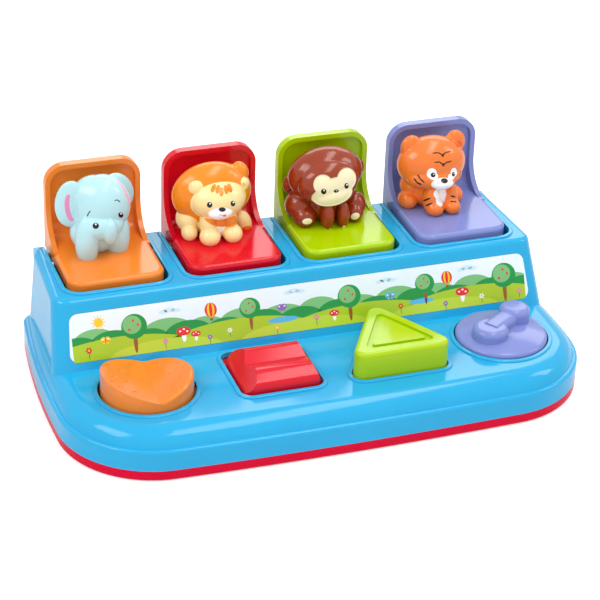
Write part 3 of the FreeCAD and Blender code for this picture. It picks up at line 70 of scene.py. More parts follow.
# The printed film and one layer of its ink, in millimetres, and the cuts that round one of its corners.
FILM_TALL = 27.3
FILM_HALF_TOP = 137.0
FILM_HALF_FOOT = 139.4
FILM_CORNER = 5.0
FILM_THICK = 0.25
INK_THICK = 0.008
CORNER_CUTS = 7

# Index of refraction of the plastics.
ABS_IOR = 1.53
VINYL_IOR = 1.5

# What the lamps face, in metres.
TOY_MIDDLE = Vector((0, 0, 0.05))


def linear(code):
    """An sRGB hex colour as linear RGBA."""
    tone = []
    for index in (1, 3, 5):
        part = int(code[index:index + 2], 16) / 255
        tone.append(part / 12.92 if part <= 0.04045 else ((part + 0.055) / 1.055) ** 2.4)
    return (*tone, 1.0)


def colour(name, code):
    """A setting that holds a colour, given in sRGB hex."""
    return FloatVectorProperty(name=name, description=name + ", as moulded or painted", size=4,
                               min=0, max=1, subtype="COLOR", default=linear(code))


def length(name, description, default):
    """A setting that holds a length in metres."""
    return FloatProperty(name=name, description=description, default=default, unit="LENGTH", precision=5)


def power(name, description, default):
    """A setting that holds a lamp's watts."""
    return FloatProperty(name=name, description=description, default=default, unit="POWER")


# ---------------------------------------------------------------- settings

class PlasticColours(bpy.types.PropertyGroup):
    """Colours of the moulded parts."""
    case: colour("Sky blue case", "#22A9DC")
    tray: colour("Red tray", "#D80032")
    orange: colour("Orange flap and rocker", "#F2862E")
    red: colour("Red flap and slide", "#DA0A24")
    green: colour("Lime flap and push button", "#ABCE00")
    purple: colour("Lilac flap and dial", "#808CCC")
    inner: colour("Natural white inner parts", "#E4E2DA")
    steel: colour("Spring steel", "#9FA2A6")


class PaintColours(bpy.types.PropertyGroup):
    """Colours of the animals' paint."""
    black: colour("Black eyes and stripes", "#100C0B")
    # The white also gives the eyes and the monkey's nose their glints, which are painted highlights.
    white: colour("White muzzles and glints", "#FDFBFA")
    aqua: colour("Pale aqua elephant", "#B5E1E8")
    rose: colour("Rose inner ear", "#E88DBE")
    blush: colour("Blush inner ear", "#F9BFDB")
    mane: colour("Orange mane", "#F08A10")
    cream: colour("Cream fur", "#FBE3A0")
    tan: colour("Tan inner ears", "#F2CF7E")
    brown: colour("Red-brown fur", "#93330D")
    maroon: colour("Maroon ear hollow", "#6E1A14")
    heart: colour("Cream face heart", "#FBEDC4")
    tiger: colour("Orange fur", "#F2792B")
    russet: colour("Russet ear hollow", "#DE5E18")


class PrintColours(bpy.types.PropertyGroup):
    """Inks of the printed scene."""
    sky: colour("Pale blue sky", "#E9F5FB")
    cloud: colour("Pale blue cloud", "#CDE9F7")
    meadow: colour("Yellow-green meadow", "#AECB2C")
    grass: colour("Light grass", "#C2D93E")
    hedge: colour("Deep green hedge", "#1E9444")
    leaf: colour("Mid green leaves", "#7CBF7A")
    bark: colour("Brown bark", "#9A5A2C")
    red: colour("Red petals and caps", "#E4322E")
    yellow: colour("Yellow sun and flower eyes", "#F9C82B")
    pink: colour("Pink petals", "#EE86B4")
    violet: colour("Violet petals", "#8F72C4")
    blue: colour("Blue pond", "#5BB8E6")
    white: colour("White petals", "#FFFFFF")


class Sculpt(bpy.types.PropertyGroup):
    """How finely the animals are moulded, and how the printing pad meets them."""
    grain: length("Grain", "Edge of the cells that the forms melt into", 0.00042)
    melt: IntProperty(name="Melt", description="Rounds of smoothing where forms meet", default=6, min=0)
    pad: FloatVectorProperty(name="Pad", description="Turn of the printing pad where it meets a face",
                             size=3, subtype="EULER",
                             default=(math.radians(-29.34), math.radians(-1.89), math.radians(-19.05)))
    print_slope: FloatProperty(name="Print slope", description="How far the printed scene leans back",
                               subtype="ANGLE", default=math.radians(23.2))


class StudioSettings(bpy.types.PropertyGroup):
    """Camera and lamps."""
    eye: FloatVectorProperty(name="Eye", description="Where the camera stands", size=3, unit="LENGTH",
                             default=(-0.37249, -1.00430, 0.65252))
    right: FloatVectorProperty(name="Right", description="The camera's right-hand direction", size=3,
                               default=(0.94472, -0.32621, 0.03291))
    upward: FloatVectorProperty(name="Upward", description="The camera's upward direction", size=3,
                                default=(0.13280, 0.47249, 0.87128))
    lens: FloatProperty(name="Lens", description="Focal length on a 36 mm wide sensor", default=129.38)
    left_power: power("Left power", "Power of the left soft box, which gives the corners their glint", 5.5)
    strip_power: power("Strip power", "Power of the strip light over the toy", 5.0)
    rear_power: power("Rear power", "Power of the rear soft box, which gives the deck its sheen", 4.6)
    right_power: power("Right power", "Power of the small right soft box", 2.0)
    top_power: power("Top power", "Power of the overhead fill, which doesn't mirror in the gloss", 2.4)
    front_power: power("Front power", "Power of the front fill, which doesn't mirror in the gloss", 4.0)
    world_light: FloatProperty(name="World light", description="Strength of the light all round",
                               default=0.45)
    floor_glow: FloatProperty(name="Floor glow", default=0.4,
                              description="Lifts the sweep to white for the camera alone")


# ---------------------------------------------------------------- material tools

def add(tree, kind, *links, **settings):
    """Add a node, set its properties and sockets by name, and link (socket, source) pairs into it."""
    node = tree.nodes.new(kind)
    for name, value in settings.items():
        if name in node.inputs and not hasattr(type(node), name):
            node.inputs[name].default_value = value
        else:
            setattr(node, name, value)
    for socket, source in links:
        tree.links.new(source, node.inputs[socket])
    return node


def new_material(name):
    """An empty node material with its surface shader and Object coordinates."""
    material = bpy.data.materials.new(name)
    material.use_nodes = True
    tree = material.node_tree
    tree.nodes.clear()
    shader = tree.nodes.new("ShaderNodeBsdfPrincipled")
    output = tree.nodes.new("ShaderNodeOutputMaterial")
    tree.links.new(shader.outputs["BSDF"], output.inputs["Surface"])
    place = tree.nodes.new("ShaderNodeTexCoord").outputs["Object"]
    return material, tree, shader, place


def moulded_skin(tree, shader, place, tone, gloss, peel):
    """The skin that a polished mould leaves on plastic."""
    # The pigment flows in clouds about 24 mm wide, so a wide face isn't one dead colour.
    cloud = add(tree, "ShaderNodeTexNoise", ("Vector", place), Scale=1 / (24 * MM), Detail=2.0)
    shade = add(tree, "ShaderNodeMapRange", (0, cloud.outputs["Fac"]), **{"To Min": 0.95, "To Max": 1.05})
    tinted = add(tree, "ShaderNodeVectorMath", (0, tone), ("Scale", shade.outputs[0]), operation="SCALE")
    tree.links.new(tinted.outputs[0], shader.inputs["Base Color"])
    # Handling leaves patches about 9 mm wide a little duller, which breaks up the edge of a reflection.
    haze = add(tree, "ShaderNodeTexNoise", ("Vector", place), Scale=1 / (9 * MM), Detail=4.0)
    rough = add(tree, "ShaderNodeMapRange", (0, haze.outputs["Fac"]),
                **{"To Min": gloss * 0.8, "To Max": gloss * 1.25})
    tree.links.new(rough.outputs[0], shader.inputs["Roughness"])
    # Orange peel about 1.6 mm wide makes a lamp's reflection tremble.
    ripple = add(tree, "ShaderNodeTexNoise", ("Vector", place), Scale=1 / (1.6 * MM), Detail=3.0)
    bump = add(tree, "ShaderNodeBump", ("Height", ripple.outputs["Fac"]),
               Strength=peel, Distance=0.05 * MM)
    tree.links.new(bump.outputs[0], shader.inputs["Normal"])


def plastic(name, tone, gloss, peel=0.15, sheen=0.3):
    """Injection-moulded plastic: the eye gets an even strong colour under sharp small glints."""
    material, tree, shader, place = new_material(name)
    base = add(tree, "ShaderNodeRGB")
    base.outputs[0].default_value = tone
    moulded_skin(tree, shader, place, base.outputs[0], gloss, peel)
    shader.inputs["IOR"].default_value = ABS_IOR
    shader.inputs["Specular IOR Level"].default_value = sheen
    return material


def steel(name, tone):
    """Drawn spring steel: the eye gets a grey metal gleam, broken where the die has dulled the wire."""
    material, tree, shader, place = new_material(name)
    # Marks of the die are under 0.1 mm; they are drawn 0.4 mm wide so that they show.
    marks = add(tree, "ShaderNodeTexNoise", ("Vector", place), Scale=1 / (0.4 * MM), Detail=2.0)
    rough = add(tree, "ShaderNodeMapRange", (0, marks.outputs["Fac"]), **{"To Min": 0.22, "To Max": 0.4})
    tree.links.new(rough.outputs[0], shader.inputs["Roughness"])
    shader.inputs["Base Color"].default_value = tone
    shader.inputs["Metallic"].default_value = 1.0
    return material


def painted(name, ground, dabs, gloss, peel=0.1):
    """Moulded vinyl with pad-printed paint: the eye gets crisp coloured patches under one shared gloss.

    Each dab is an ellipsoid of one colour in the toy's own space.
    """
    material, tree, shader, place = new_material(name)
    base = add(tree, "ShaderNodeRGB")
    base.outputs[0].default_value = ground
    tone = base.outputs[0]
    for dab in dabs:
        spot = add(tree, "ShaderNodeMapping", ("Vector", place), vector_type="TEXTURE",
                   Location=dab.middle, Rotation=dab.turn.to_euler(), Scale=dab.half)
        reach = add(tree, "ShaderNodeVectorMath", (0, spot.outputs[0]), operation="LENGTH")
        mask = add(tree, "ShaderNodeMapRange", (0, reach.outputs["Value"]),
                   **{"From Min": 1 + dab.blur, "From Max": 1 - dab.blur})
        blend = add(tree, "ShaderNodeMix", data_type="RGBA")
        tree.links.new(mask.outputs[0], blend.inputs[0])
        tree.links.new(tone, blend.inputs[6])
        blend.inputs[7].default_value = dab.paint
        tone = blend.outputs[2]
    moulded_skin(tree, shader, place, tone, gloss, peel)
    shader.inputs["IOR"].default_value = VINYL_IOR
    return material


def dress(node, material):
    """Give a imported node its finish."""
    slots = NODES[node].data.materials
    slots.clear()
    slots.append(material)


# ---------------------------------------------------------------- shape tools

def turned(degrees):
    """A turn about X, then Y, then Z."""
    return Euler([math.radians(angle) for angle in degrees], "XYZ").to_matrix()


class Dab:
    """An ellipsoid in the toy's space: a form of an animal, a spot of paint or the reach of a press."""

    def __init__(self, middle, half, turn, paint=None, blur=DAB_EDGE):
        self.middle = Vector(middle)
        self.half = Vector(half)
        self.turn = turn
        self.paint = paint
        self.blur = blur

    def reach(self, point):
        """Distance from the middle, where 1 is on the skin."""
        across = self.turn.transposed() @ (point - self.middle)
        return Vector([along / half for along, half in zip(across, self.half)]).length


class Stencil:
    """Places dabs in millimetres across and up from a point, square to the pad that presses the paint."""

    def __init__(self, origin, turn):
        self.origin = origin
        self.turn = turn

    def dab(self, paint, across, up, half_across, half_up, roll=0, sink=0, blur=DAB_EDGE):
        """One dab, turned by its roll and set back by its sink."""
        middle = self.origin + self.turn @ Vector((across, sink, up)) * MM
        turn = self.turn @ Matrix.Rotation(math.radians(-roll), 3, "Y")
        return Dab(middle, Vector((half_across, PAINT_DEEP, half_up)) * MM, turn, paint, blur)

    def stroke(self, paint, width, points, sink=0):
        """A drawn line: one long dab for each stretch between points."""
        dabs = []
        for start, end in zip(points, points[1:]):
            run, rise = end[0] - start[0], end[1] - start[1]
            dabs.append(self.dab(paint, start[0] + run / 2, start[1] + rise / 2,
                                 math.hypot(run, rise) * STROKE_REACH + width * 0.5, width,
                                 math.degrees(math.atan2(rise, run)), sink, STROKE_EDGE))
        return dabs


def place_in(mesh, dab):
    """Add a dab to a bmesh as an ellipsoid."""
    place = Matrix.Translation(dab.middle) @ dab.turn.to_4x4() @ Matrix.Diagonal((*dab.half, 1))
    bmesh.ops.create_icosphere(mesh, subdivisions=4, radius=1, matrix=place)


def finish_piece(name, mesh, materials, body, smooth=True):
    """Turn a bmesh into an object that rides on a body."""
    data = bpy.data.meshes.new(name)
    mesh.to_mesh(data)
    mesh.free()
    for polygon in data.polygons:
        polygon.use_smooth = smooth
    for material in materials:
        data.materials.append(material)
    piece = bpy.data.objects.new(name, data)
    bpy.context.scene.collection.objects.link(piece)
    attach(piece, body)
    return piece


def melted(forms):
    """One closed skin over all the forms, with the creases between them softened."""
    settings = bpy.context.scene.toy_sculpt
    mesh = bmesh.new()
    for form in forms:
        place_in(mesh, form)
    data = bpy.data.meshes.new("forms")
    mesh.to_mesh(data)
    rough = bpy.data.objects.new("forms", data)
    bpy.context.scene.collection.objects.link(rough)
    melt = rough.modifiers.new("Melt", "REMESH")
    melt.mode = "VOXEL"
    melt.voxel_size = settings.grain
    soften = rough.modifiers.new("Soften", "SMOOTH")
    soften.factor = 0.5
    soften.iterations = settings.melt
    skin = bpy.data.meshes.new_from_object(rough.evaluated_get(bpy.context.evaluated_depsgraph_get()))
    bpy.data.objects.remove(rough)
    mesh.clear()
    mesh.from_mesh(skin)
    return mesh


def press(mesh, dabs, depth, edge):
    """Push the skin in where a dab reaches it, or out for a negative depth.

    The edge is the share of the dab over which the push grows.
    """
    mesh.normal_update()
    moves = []
    for vertex in mesh.verts:
        inside = 1 - min(dab.reach(vertex.co) for dab in dabs)
        if inside > 0:
            share = min(inside / edge, 1)
            moves.append((vertex, vertex.normal * (-depth * MM * share * share * (3 - 2 * share))))
    for vertex, move in moves:
        vertex.co += move


class Figure:
    """An animal on its flap: forms and paint are given from the middle of the flap, in millimetres."""

    def __init__(self, animal, ground, nose):
        low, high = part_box("flap_" + animal)
        self.animal = animal
        self.ground = ground
        self.origin = Vector(((low.x + high.x) / 2, 0, 0))
        pad = Euler(bpy.context.scene.toy_sculpt.pad).to_matrix()
        self.stencil = Stencil(self.origin + Vector(nose) * MM, pad)
        self.forms = []
        self.paint = []
        self.presses = []

    def form(self, middle, half, lean=UPRIGHT, paint=None):
        """Add a rounded form; a coat of paint covers what shows of it."""
        dab = Dab(self.origin + Vector(middle) * MM, Vector(half) * MM, turned(lean), paint)
        self.forms.append(dab)
        if paint is not None:
            self.paint.append(Dab(dab.middle, dab.half * COAT, dab.turn, paint, COAT_EDGE))

    def dab(self, paint, *place, **more):
        """Press one dab of paint on."""
        self.paint.append(self.stencil.dab(paint, *place, **more))

    def line(self, paint, width, *points, sink=0):
        """Draw a line of paint through points."""
        self.paint.extend(self.stencil.stroke(paint, width, points, sink))

    def eyes(self, places, glint, shift, blur):
        """Paint black eyes, each with a white glint, a painted highlight of the given half size, shift and
        softness.
        """
        paint = bpy.context.scene.toy_paints
        for across, up, half_across, half_up in places:
            self.dab(paint.black, across, up, half_across, half_up, blur=EYE_EDGE)
            # the white glint is a painted highlight, where a lamp would mirror in the glossy eye
            self.dab(paint.white, across + shift[0], up + shift[1], glint, glint, blur=blur)

    def press(self, depth, edge, *places, sink=0):
        """Hollow the skin at places, or raise it for a negative depth."""
        dabs = [self.stencil.dab(None, *place, sink=sink) for place in places]
        self.presses.append((dabs, depth, edge))

    def make(self, gloss=0.2):
        """Melt the forms into one skin, paint it and put it in the place of the plain figure."""
        mesh = melted(self.forms)
        for dabs, depth, edge in self.presses:
            press(mesh, dabs, depth, edge)
        skin = painted("Painted glossy vinyl, " + self.animal, self.ground, self.paint, gloss)
        piece = finish_piece("animal_" + self.animal, mesh, [skin], "lid_" + self.animal)
        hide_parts("figure_" + self.animal)


# ---------------------------------------------------------------- operators

class TOY_OT_case(bpy.types.Operator):
    """Blue case and red tray in glossy ABS."""
    bl_idname = "toy.case"
    bl_label = "Case and Tray"

    def execute(self, context):
        tones = context.scene.toy_plastics
        dress("housing_top", plastic("Glossy moulded ABS, sky blue", tones.case, 0.11))
        dress("base_tray", plastic("Glossy moulded ABS, tray red", tones.tray, 0.14, sheen=0.1))
        return {"FINISHED"}


class TOY_OT_flaps(bpy.types.Operator):
    """Four flaps in their own colours."""
    bl_idname = "toy.flaps"
    bl_label = "Flaps"

    def execute(self, context):
        tones = context.scene.toy_plastics
        for animal, tone in zip(ANIMALS, (tones.orange, tones.red, tones.green, tones.purple)):
            dress("flap_" + animal, plastic("Glossy moulded ABS, %s flap" % animal, tone, 0.14))
        return {"FINISHED"}


class TOY_OT_controls(bpy.types.Operator):
    """Rocker, slide, push button and dial."""
    bl_idname = "toy.controls"
    bl_label = "Controls"

    def execute(self, context):
        tones = context.scene.toy_plastics
        dress("rocker_button", plastic("Glossy moulded ABS, rocker orange", tones.orange, 0.14))
        dress("slide_button", plastic("Glossy moulded ABS, slide red", tones.red, 0.1))
        dress("push_button", plastic("Glossy moulded ABS, button lime", tones.green, 0.12))
        dress("turn_dial", plastic("Glossy moulded ABS, dial lilac", tones.purple, 0.14))
        return {"FINISHED"}


class TOY_OT_works(bpy.types.Operator):
    """Inner bars, springs, pins and screws."""
    bl_idname = "toy.works"
    bl_label = "Inner Works"

    def execute(self, context):
        tones = context.scene.toy_plastics
        # Acetal without pigment gives the eye a milky white with a broad dull sheen.
        white = plastic("Natural moulded acetal", tones.inner, 0.4)
        wire = steel("Drawn spring steel", tones.steel)
        for node in ("rocker_lever", "slide_bar", "push_bar", "dial_bar", "dial_crank"):
            dress(node, white)
        for node in ("case_screws", "lever_screw", "rocker_pin", "dial_screw", "rocker_springs",
                     "slide_spring", "push_spring", "push_bar_spring", "dial_spring"):
            dress(node, wire)
        for animal in ANIMALS:
            for kind in ("hinge_pin_", "torsion_spring_", "catch_", "figure_screws_"):
                dress(kind + animal, wire)
        return {"FINISHED"}


class TOY_OT_elephant(bpy.types.Operator):
    """Pale aqua elephant with pink inner ears."""
    bl_idname = "toy.elephant"
    bl_label = "Elephant"

    def execute(self, context):
        paint = context.scene.toy_paints
        figure = Figure("elephant", paint.aqua, (0.5, 46, 93.5))
        # head, brow, cheeks and body
        figure.form((0.6, 60.5, 96.2), (16.2, 14, 18.4))
        figure.form((-3.5, 62.5, 100.5), (13.5, 12, 13.2))
        figure.form((-2.3, 54.5, 87.6), (13.8, 11, 9.2))
        figure.form((-3, 62, 80), (15, 12, 14))
        # ears and trunk
        figure.form((-17.6, 61.5, 98.8), (8.8, 3.4, 14.6), (0, 6, -18))
        figure.form((11.3, 65, 101.6), (9, 3.4, 13.2), (0, -34, 20))
        figure.form((1.4, 45.5, 86.2), (4.2, 4.6, 8.2), (10, 0, 0))
        # legs
        figure.form((-10.8, 51.2, 79), (6.9, 6.9, 16))
        figure.form((8.2, 56.5, 78.5), (7.2, 7, 16))
        figure.form((-1.6, 58.5, 75.5), (4.2, 5, 8))
        # hollows of the ears: a rose crescent, and a blush edge on the far one
        figure.press(0.7, 0.6, (-20.8, 6.5, 4.2, 10.5, 4), sink=3)
        figure.dab(paint.rose, -21.9, 7.1, 3, 8.6, 5, sink=3)
        figure.dab(paint.aqua, -19.2, 7.3, 2.9, 9.6, 5, sink=3)
        figure.line(paint.blush, 0.84, (3.1, 23.1), (5.9, 21.1), (8.4, 17.7), (10.4, 13.2), (11.5, 9.9),
                    sink=10)
        # eyes and brows
        figure.eyes(((-7, -3.1, 1.86, 1.75), (6.8, 3.1, 1.46, 1.69)), 0.5, (0.05, 0.85), 0.15)
        figure.line(paint.black, 0.34, (-11.8, 2.4), (-11.1, 4), (-9.9, 5.2))
        figure.line(paint.black, 0.31, (3.7, 11.1), (5.1, 11.6), (6.5, 10.4))
        figure.make()
        return {"FINISHED"}


class TOY_OT_lion(bpy.types.Operator):
    """Cream lion with an orange mane."""
    bl_idname = "toy.lion"
    bl_label = "Lion"

    def execute(self, context):
        paint = context.scene.toy_paints
        figure = Figure("lion", paint.cream, (-2.9, 44.5, 92.1))
        # body, and the mane with its curl and its point under the chin
        figure.form((-2.5, 62, 80), (13, 11, 14))
        figure.form((-3.6, 63.5, 94), (23.8, 12.5, 19), paint=paint.mane)
        figure.form((13.4, 63.5, 105.4), (5, 5, 6.4), (0, -20, 0), paint.mane)
        figure.form((-3.6, 59, 80.5), (5, 4.5, 6), paint=paint.mane)
        # ears, muzzle and chest
        figure.form((-15.3, 55.5, 102.2), (4.3, 2.6, 4.4), (0, 0, -14), paint.cream)
        figure.form((14, 57.5, 100.2), (3.6, 2.6, 3.9), (0, 0, 25), paint.cream)
        figure.form((-3.3, 46.2, 89.2), (7.4, 3.4, 4))
        figure.form((-2.4, 54.5, 77), (6, 5, 8), paint=paint.white)
        # legs, paws, haunch and tail
        figure.form((-9, 52, 80), (5, 5.5, 8), paint=paint.cream)
        figure.form((4.4, 53, 80), (4.4, 5.2, 8), paint=paint.cream)
        figure.form((-8.8, 48.2, 73.6), (6.2, 6.2, 5.6), paint=paint.cream)
        figure.form((5, 48.8, 73.6), (5.8, 6.2, 5.6), paint=paint.cream)
        figure.form((-18.4, 63, 79.5), (6.5, 8, 8), paint=paint.cream)
        figure.form((-18.7, 56.8, 73.6), (4.8, 5.6, 5.2), paint=paint.cream)
        figure.form((15.8, 61, 73.8), (4.4, 3.6, 7.6), (0, -20, 0), paint.cream)
        # mane under the chin, then the face over it
        figure.dab(paint.mane, -0.4, -5.4, 11, 4.4, -6, sink=8)
        figure.form((-2.2, 55.5, 93.4), (16.3, 11.5, 11.5), paint=paint.cream)
        # raised locks over the brow
        for across, up in ((-5, 12.1), (-2.4, 11.4), (-0.4, 10), (2.2, 11.4), (4.2, 12.4)):
            lock = figure.stencil.dab(paint.mane, across, up, 1.15, 2.6, 4 * across)
            lock.half.y = 1.3 * MM
            figure.forms.append(lock)
            figure.dab(paint.mane, across, up, 1.3, 2.7, 4 * across)
        # hollows of the ears
        figure.press(0.9, 0.7, (-15.0, 12.4, 2.7, 2.8), sink=9)
        figure.press(0.8, 0.7, (12.2, 14.1, 1.7, 2.2), sink=9)
        figure.dab(paint.tan, -15.0, 12.4, 1.9, 1.9, sink=9, blur=0.25)
        figure.dab(paint.tan, 12.2, 14.1, 1.2, 1.6, sink=9, blur=0.25)
        # muzzle, mouth, nose and eyes
        figure.dab(paint.white, -0.7, -2.3, 7.26, 3.6, 3)
        figure.line(paint.russet, 0.2, (-1.5, -2.9), (-0.1, -3.3), (2.2, -2.9))
        figure.dab(paint.mane, 1.3, -3.6, 0.92, 0.42, 10)
        figure.dab(paint.black, 0, 0, 2, 1.32, blur=EYE_EDGE)
        figure.eyes(((-7.1, 2.6, 1.66, 1.72), (6.1, 3.5, 1.32, 1.6)), 0.5, (0.3, 0.7), 0.15)
        # tip of the tail
        figure.dab(paint.mane, 13.4, -11.6, 4.4, 3, 20, sink=27)
        figure.make()
        return {"FINISHED"}


class TOY_OT_monkey(bpy.types.Operator):
    """Red-brown monkey with a cream face."""
    bl_idname = "toy.monkey"
    bl_label = "Monkey"

    def execute(self, context):
        paint = context.scene.toy_paints
        figure = Figure("monkey", paint.brown, (-3.7, 44, 95.1))
        # head, face, muzzle and body
        figure.form((-4.4, 62.5, 97.8), (22.9, 14.2, 16.6), (0, -5, 0))
        figure.form((-5.5, 53.5, 96.6), (18.6, 10, 13.6), (0, -6, 0))
        figure.form((-3.6, 50.5, 90.6), (13.5, 7.6, 8), (0, -6, 0))
        figure.form((-4, 62, 80.5), (13, 11, 13))
        # ears
        figure.form((-24.4, 67, 91.4), (4.3, 2.8, 6))
        figure.form((17.5, 67, 97), (4.3, 2.8, 6))
        # arms, then thighs and feet
        figure.form((-6.6, 49.2, 77), (4.2, 5.6, 9))
        figure.form((2.8, 48.9, 76.8), (3.9, 5.6, 9))
        figure.form((-20.1, 62, 79.5), (8.5, 9, 9))
        figure.form((-18.6, 56, 75.2), (7.2, 8, 6.8))
        figure.form((13, 58.5, 77.5), (7.4, 8, 8.2))
        figure.form((11.6, 54.5, 75), (6, 7, 6.2))
        # the cream heart of the face, a hair below the fur
        heart = ((-8, 4.1, 6.2, 6.2), (6.4, 6.6, 6.5, 7, -10), (-0.6, 2.6, 9, 5.6, 12),
                 (-0.7, -2, 14.1, 7.3, 14))
        figure.press(0.6, 0.08, *heart)
        for place in heart:
            figure.dab(paint.heart, *place)
        # hollow of the ear, soles and finger tips
        figure.dab(paint.maroon, -27, 2.3, 2, 2.4, sink=22, blur=0.4)
        figure.dab(paint.heart, -16.8, -17.4, 3.3, 1.9, 8, sink=5)
        figure.dab(paint.heart, 11.4, -13.9, 2.7, 1.9, 20, sink=18)
        for across, up in ((-7.2, -22.3), (-5.1, -22.9), (-3.1, -22.2),
                           (1.3, -21.6), (3.2, -21.9), (4.9, -20.9)):
            figure.dab(paint.heart, across, up, 1.25, 1.4, sink=16)
        # nose with its glint, a painted highlight, and eyes
        figure.dab(paint.black, -0.1, 0, 1.5, 0.95, 10, blur=EYE_EDGE)
        figure.dab(paint.white, 0.1, 0.25, 0.4, 0.25, blur=0.2)
        figure.eyes(((-7.4, -0.3, 1.63, 1.63), (5.9, 3.1, 1.34, 1.68)), 0.5, (0.25, 0.65), 0.15)
        figure.make(0.16)
        return {"FINISHED"}


class TOY_OT_tiger(bpy.types.Operator):
    """Orange tiger with black stripes."""
    bl_idname = "toy.tiger"
    bl_label = "Tiger"

    def execute(self, context):
        paint = context.scene.toy_paints
        figure = Figure("tiger", paint.tiger, (-5.6, 44, 92.9))
        # head, cheeks, ears and muzzle
        figure.form((-7.3, 62, 97), (21.2, 14.6, 16.6))
        figure.form((-7.6, 56, 91.5), (17.6, 10.5, 8))
        figure.form((-20, 63.5, 107.8), (6.8, 3.8, 7.5))
        figure.form((8.4, 65, 107.2), (6.6, 3.8, 7.6))
        figure.form((-5, 47.6, 89.6), (7.4, 4, 3.8))
        # body, chest, legs, paws and haunches
        figure.form((-5.5, 63, 80), (13, 11, 13))
        figure.form((-4.4, 54, 79), (7, 5, 8), paint=paint.white)
        figure.form((-10, 51.6, 78), (5.4, 5.8, 9.4), paint=paint.tiger)
        figure.form((2.3, 52.2, 78), (4.8, 5.6, 9.4), paint=paint.tiger)
        figure.form((-8.9, 48.4, 73.4), (5.6, 6.4, 5), paint=paint.tiger)
        figure.form((2.1, 48.2, 73.4), (5.2, 6.2, 4.9), paint=paint.tiger)
        figure.form((-15.5, 66, 82), (9, 8, 8), paint=paint.tiger)
        figure.form((-20.6, 62.5, 74), (6.1, 7.2, 5.8), paint=paint.tiger)
        figure.form((8.9, 61.2, 74.2), (5.2, 6.4, 5.4), paint=paint.tiger)
        # cupped ears, each with a raised lobe
        figure.press(1.3, 0.6, (-17.7, 18.7, 4.2, 4.6, -20), sink=12)
        figure.press(-0.9, 0.8, (-18.4, 18.0, 2.2, 2.6, -20), sink=12)
        figure.press(1.3, 0.6, (8.6, 21.0, 3.6, 4.4, 10), sink=14)
        figure.press(-0.9, 0.8, (8.9, 20.4, 1.9, 2.6, 10), sink=14)
        figure.dab(paint.russet, -17.2, 19.3, 2.6, 1.6, 30, sink=12, blur=0.4)
        # white muzzle and eye patches, nose and eyes
        figure.dab(paint.white, -0.8, -1.7, 7.1, 3.66, 6)
        figure.dab(paint.white, -7.6, 4.3, 3, 3.1)
        figure.dab(paint.white, -6.4, 2.6, 2.6, 2.2)
        figure.dab(paint.white, 6.1, 5.2, 2.5, 3.1, -10)
        figure.dab(paint.white, 4.4, 2.6, 2.3, 2)
        figure.dab(paint.black, 0, 0.1, 2.2, 1.55, blur=EYE_EDGE)
        figure.eyes(((-6.8, 3.4, 1.48, 1.42), (5.6, 4.2, 1.18, 1.59)), 0.36, (0.4, 0.45), 0.2)
        # stripes on the brow and the cheeks
        figure.line(paint.black, 0.42, (-7.4, 16.1), (-3.9, 16.5), (-1.2, 15.1), (0.8, 16.8), (3.8, 17.6))
        figure.dab(paint.black, -1.2, 14.9, 0.75, 1)
        figure.line(paint.black, 0.42, (-6, 10.7), (-3.3, 11.1), (-0.8, 9.3), (1, 10.8), (3.9, 11.7))
        figure.dab(paint.black, -0.8, 9.4, 0.75, 1)
        figure.line(paint.black, 0.45, (-18, 1.4), (-16.3, -0.9), (-13.9, -2.2))
        figure.line(paint.black, 0.45, (-15.8, 3.4), (-14.5, 1.2), (-12.1, -0.9))
        figure.line(paint.black, 0.3, (10.2, 6.7), (10, 4.6), (9.4, 2.8), sink=6)
        figure.line(paint.black, 0.3, (11.3, 5.8), (11.1, 3.4), (10, 1.7), sink=6)
        # white bib, and stripes on the legs
        figure.dab(paint.white, -2.4, -7.4, 4.3, 3.4, sink=10)
        figure.dab(paint.white, -2.2, -10.4, 2.7, 4.4, sink=10)
        figure.line(paint.black, 0.6, (-11.8, -11.3), (-8.4, -10.1), sink=7)
        figure.line(paint.black, 0.55, (-10.3, -14.2), (-7.2, -13), sink=7)
        figure.line(paint.black, 0.55, (4.5, -8.4), (6.9, -8.9), sink=11)
        figure.line(paint.black, 0.55, (4.8, -11.6), (7.4, -11.9), sink=11)
        figure.make()
        return {"FINISHED"}


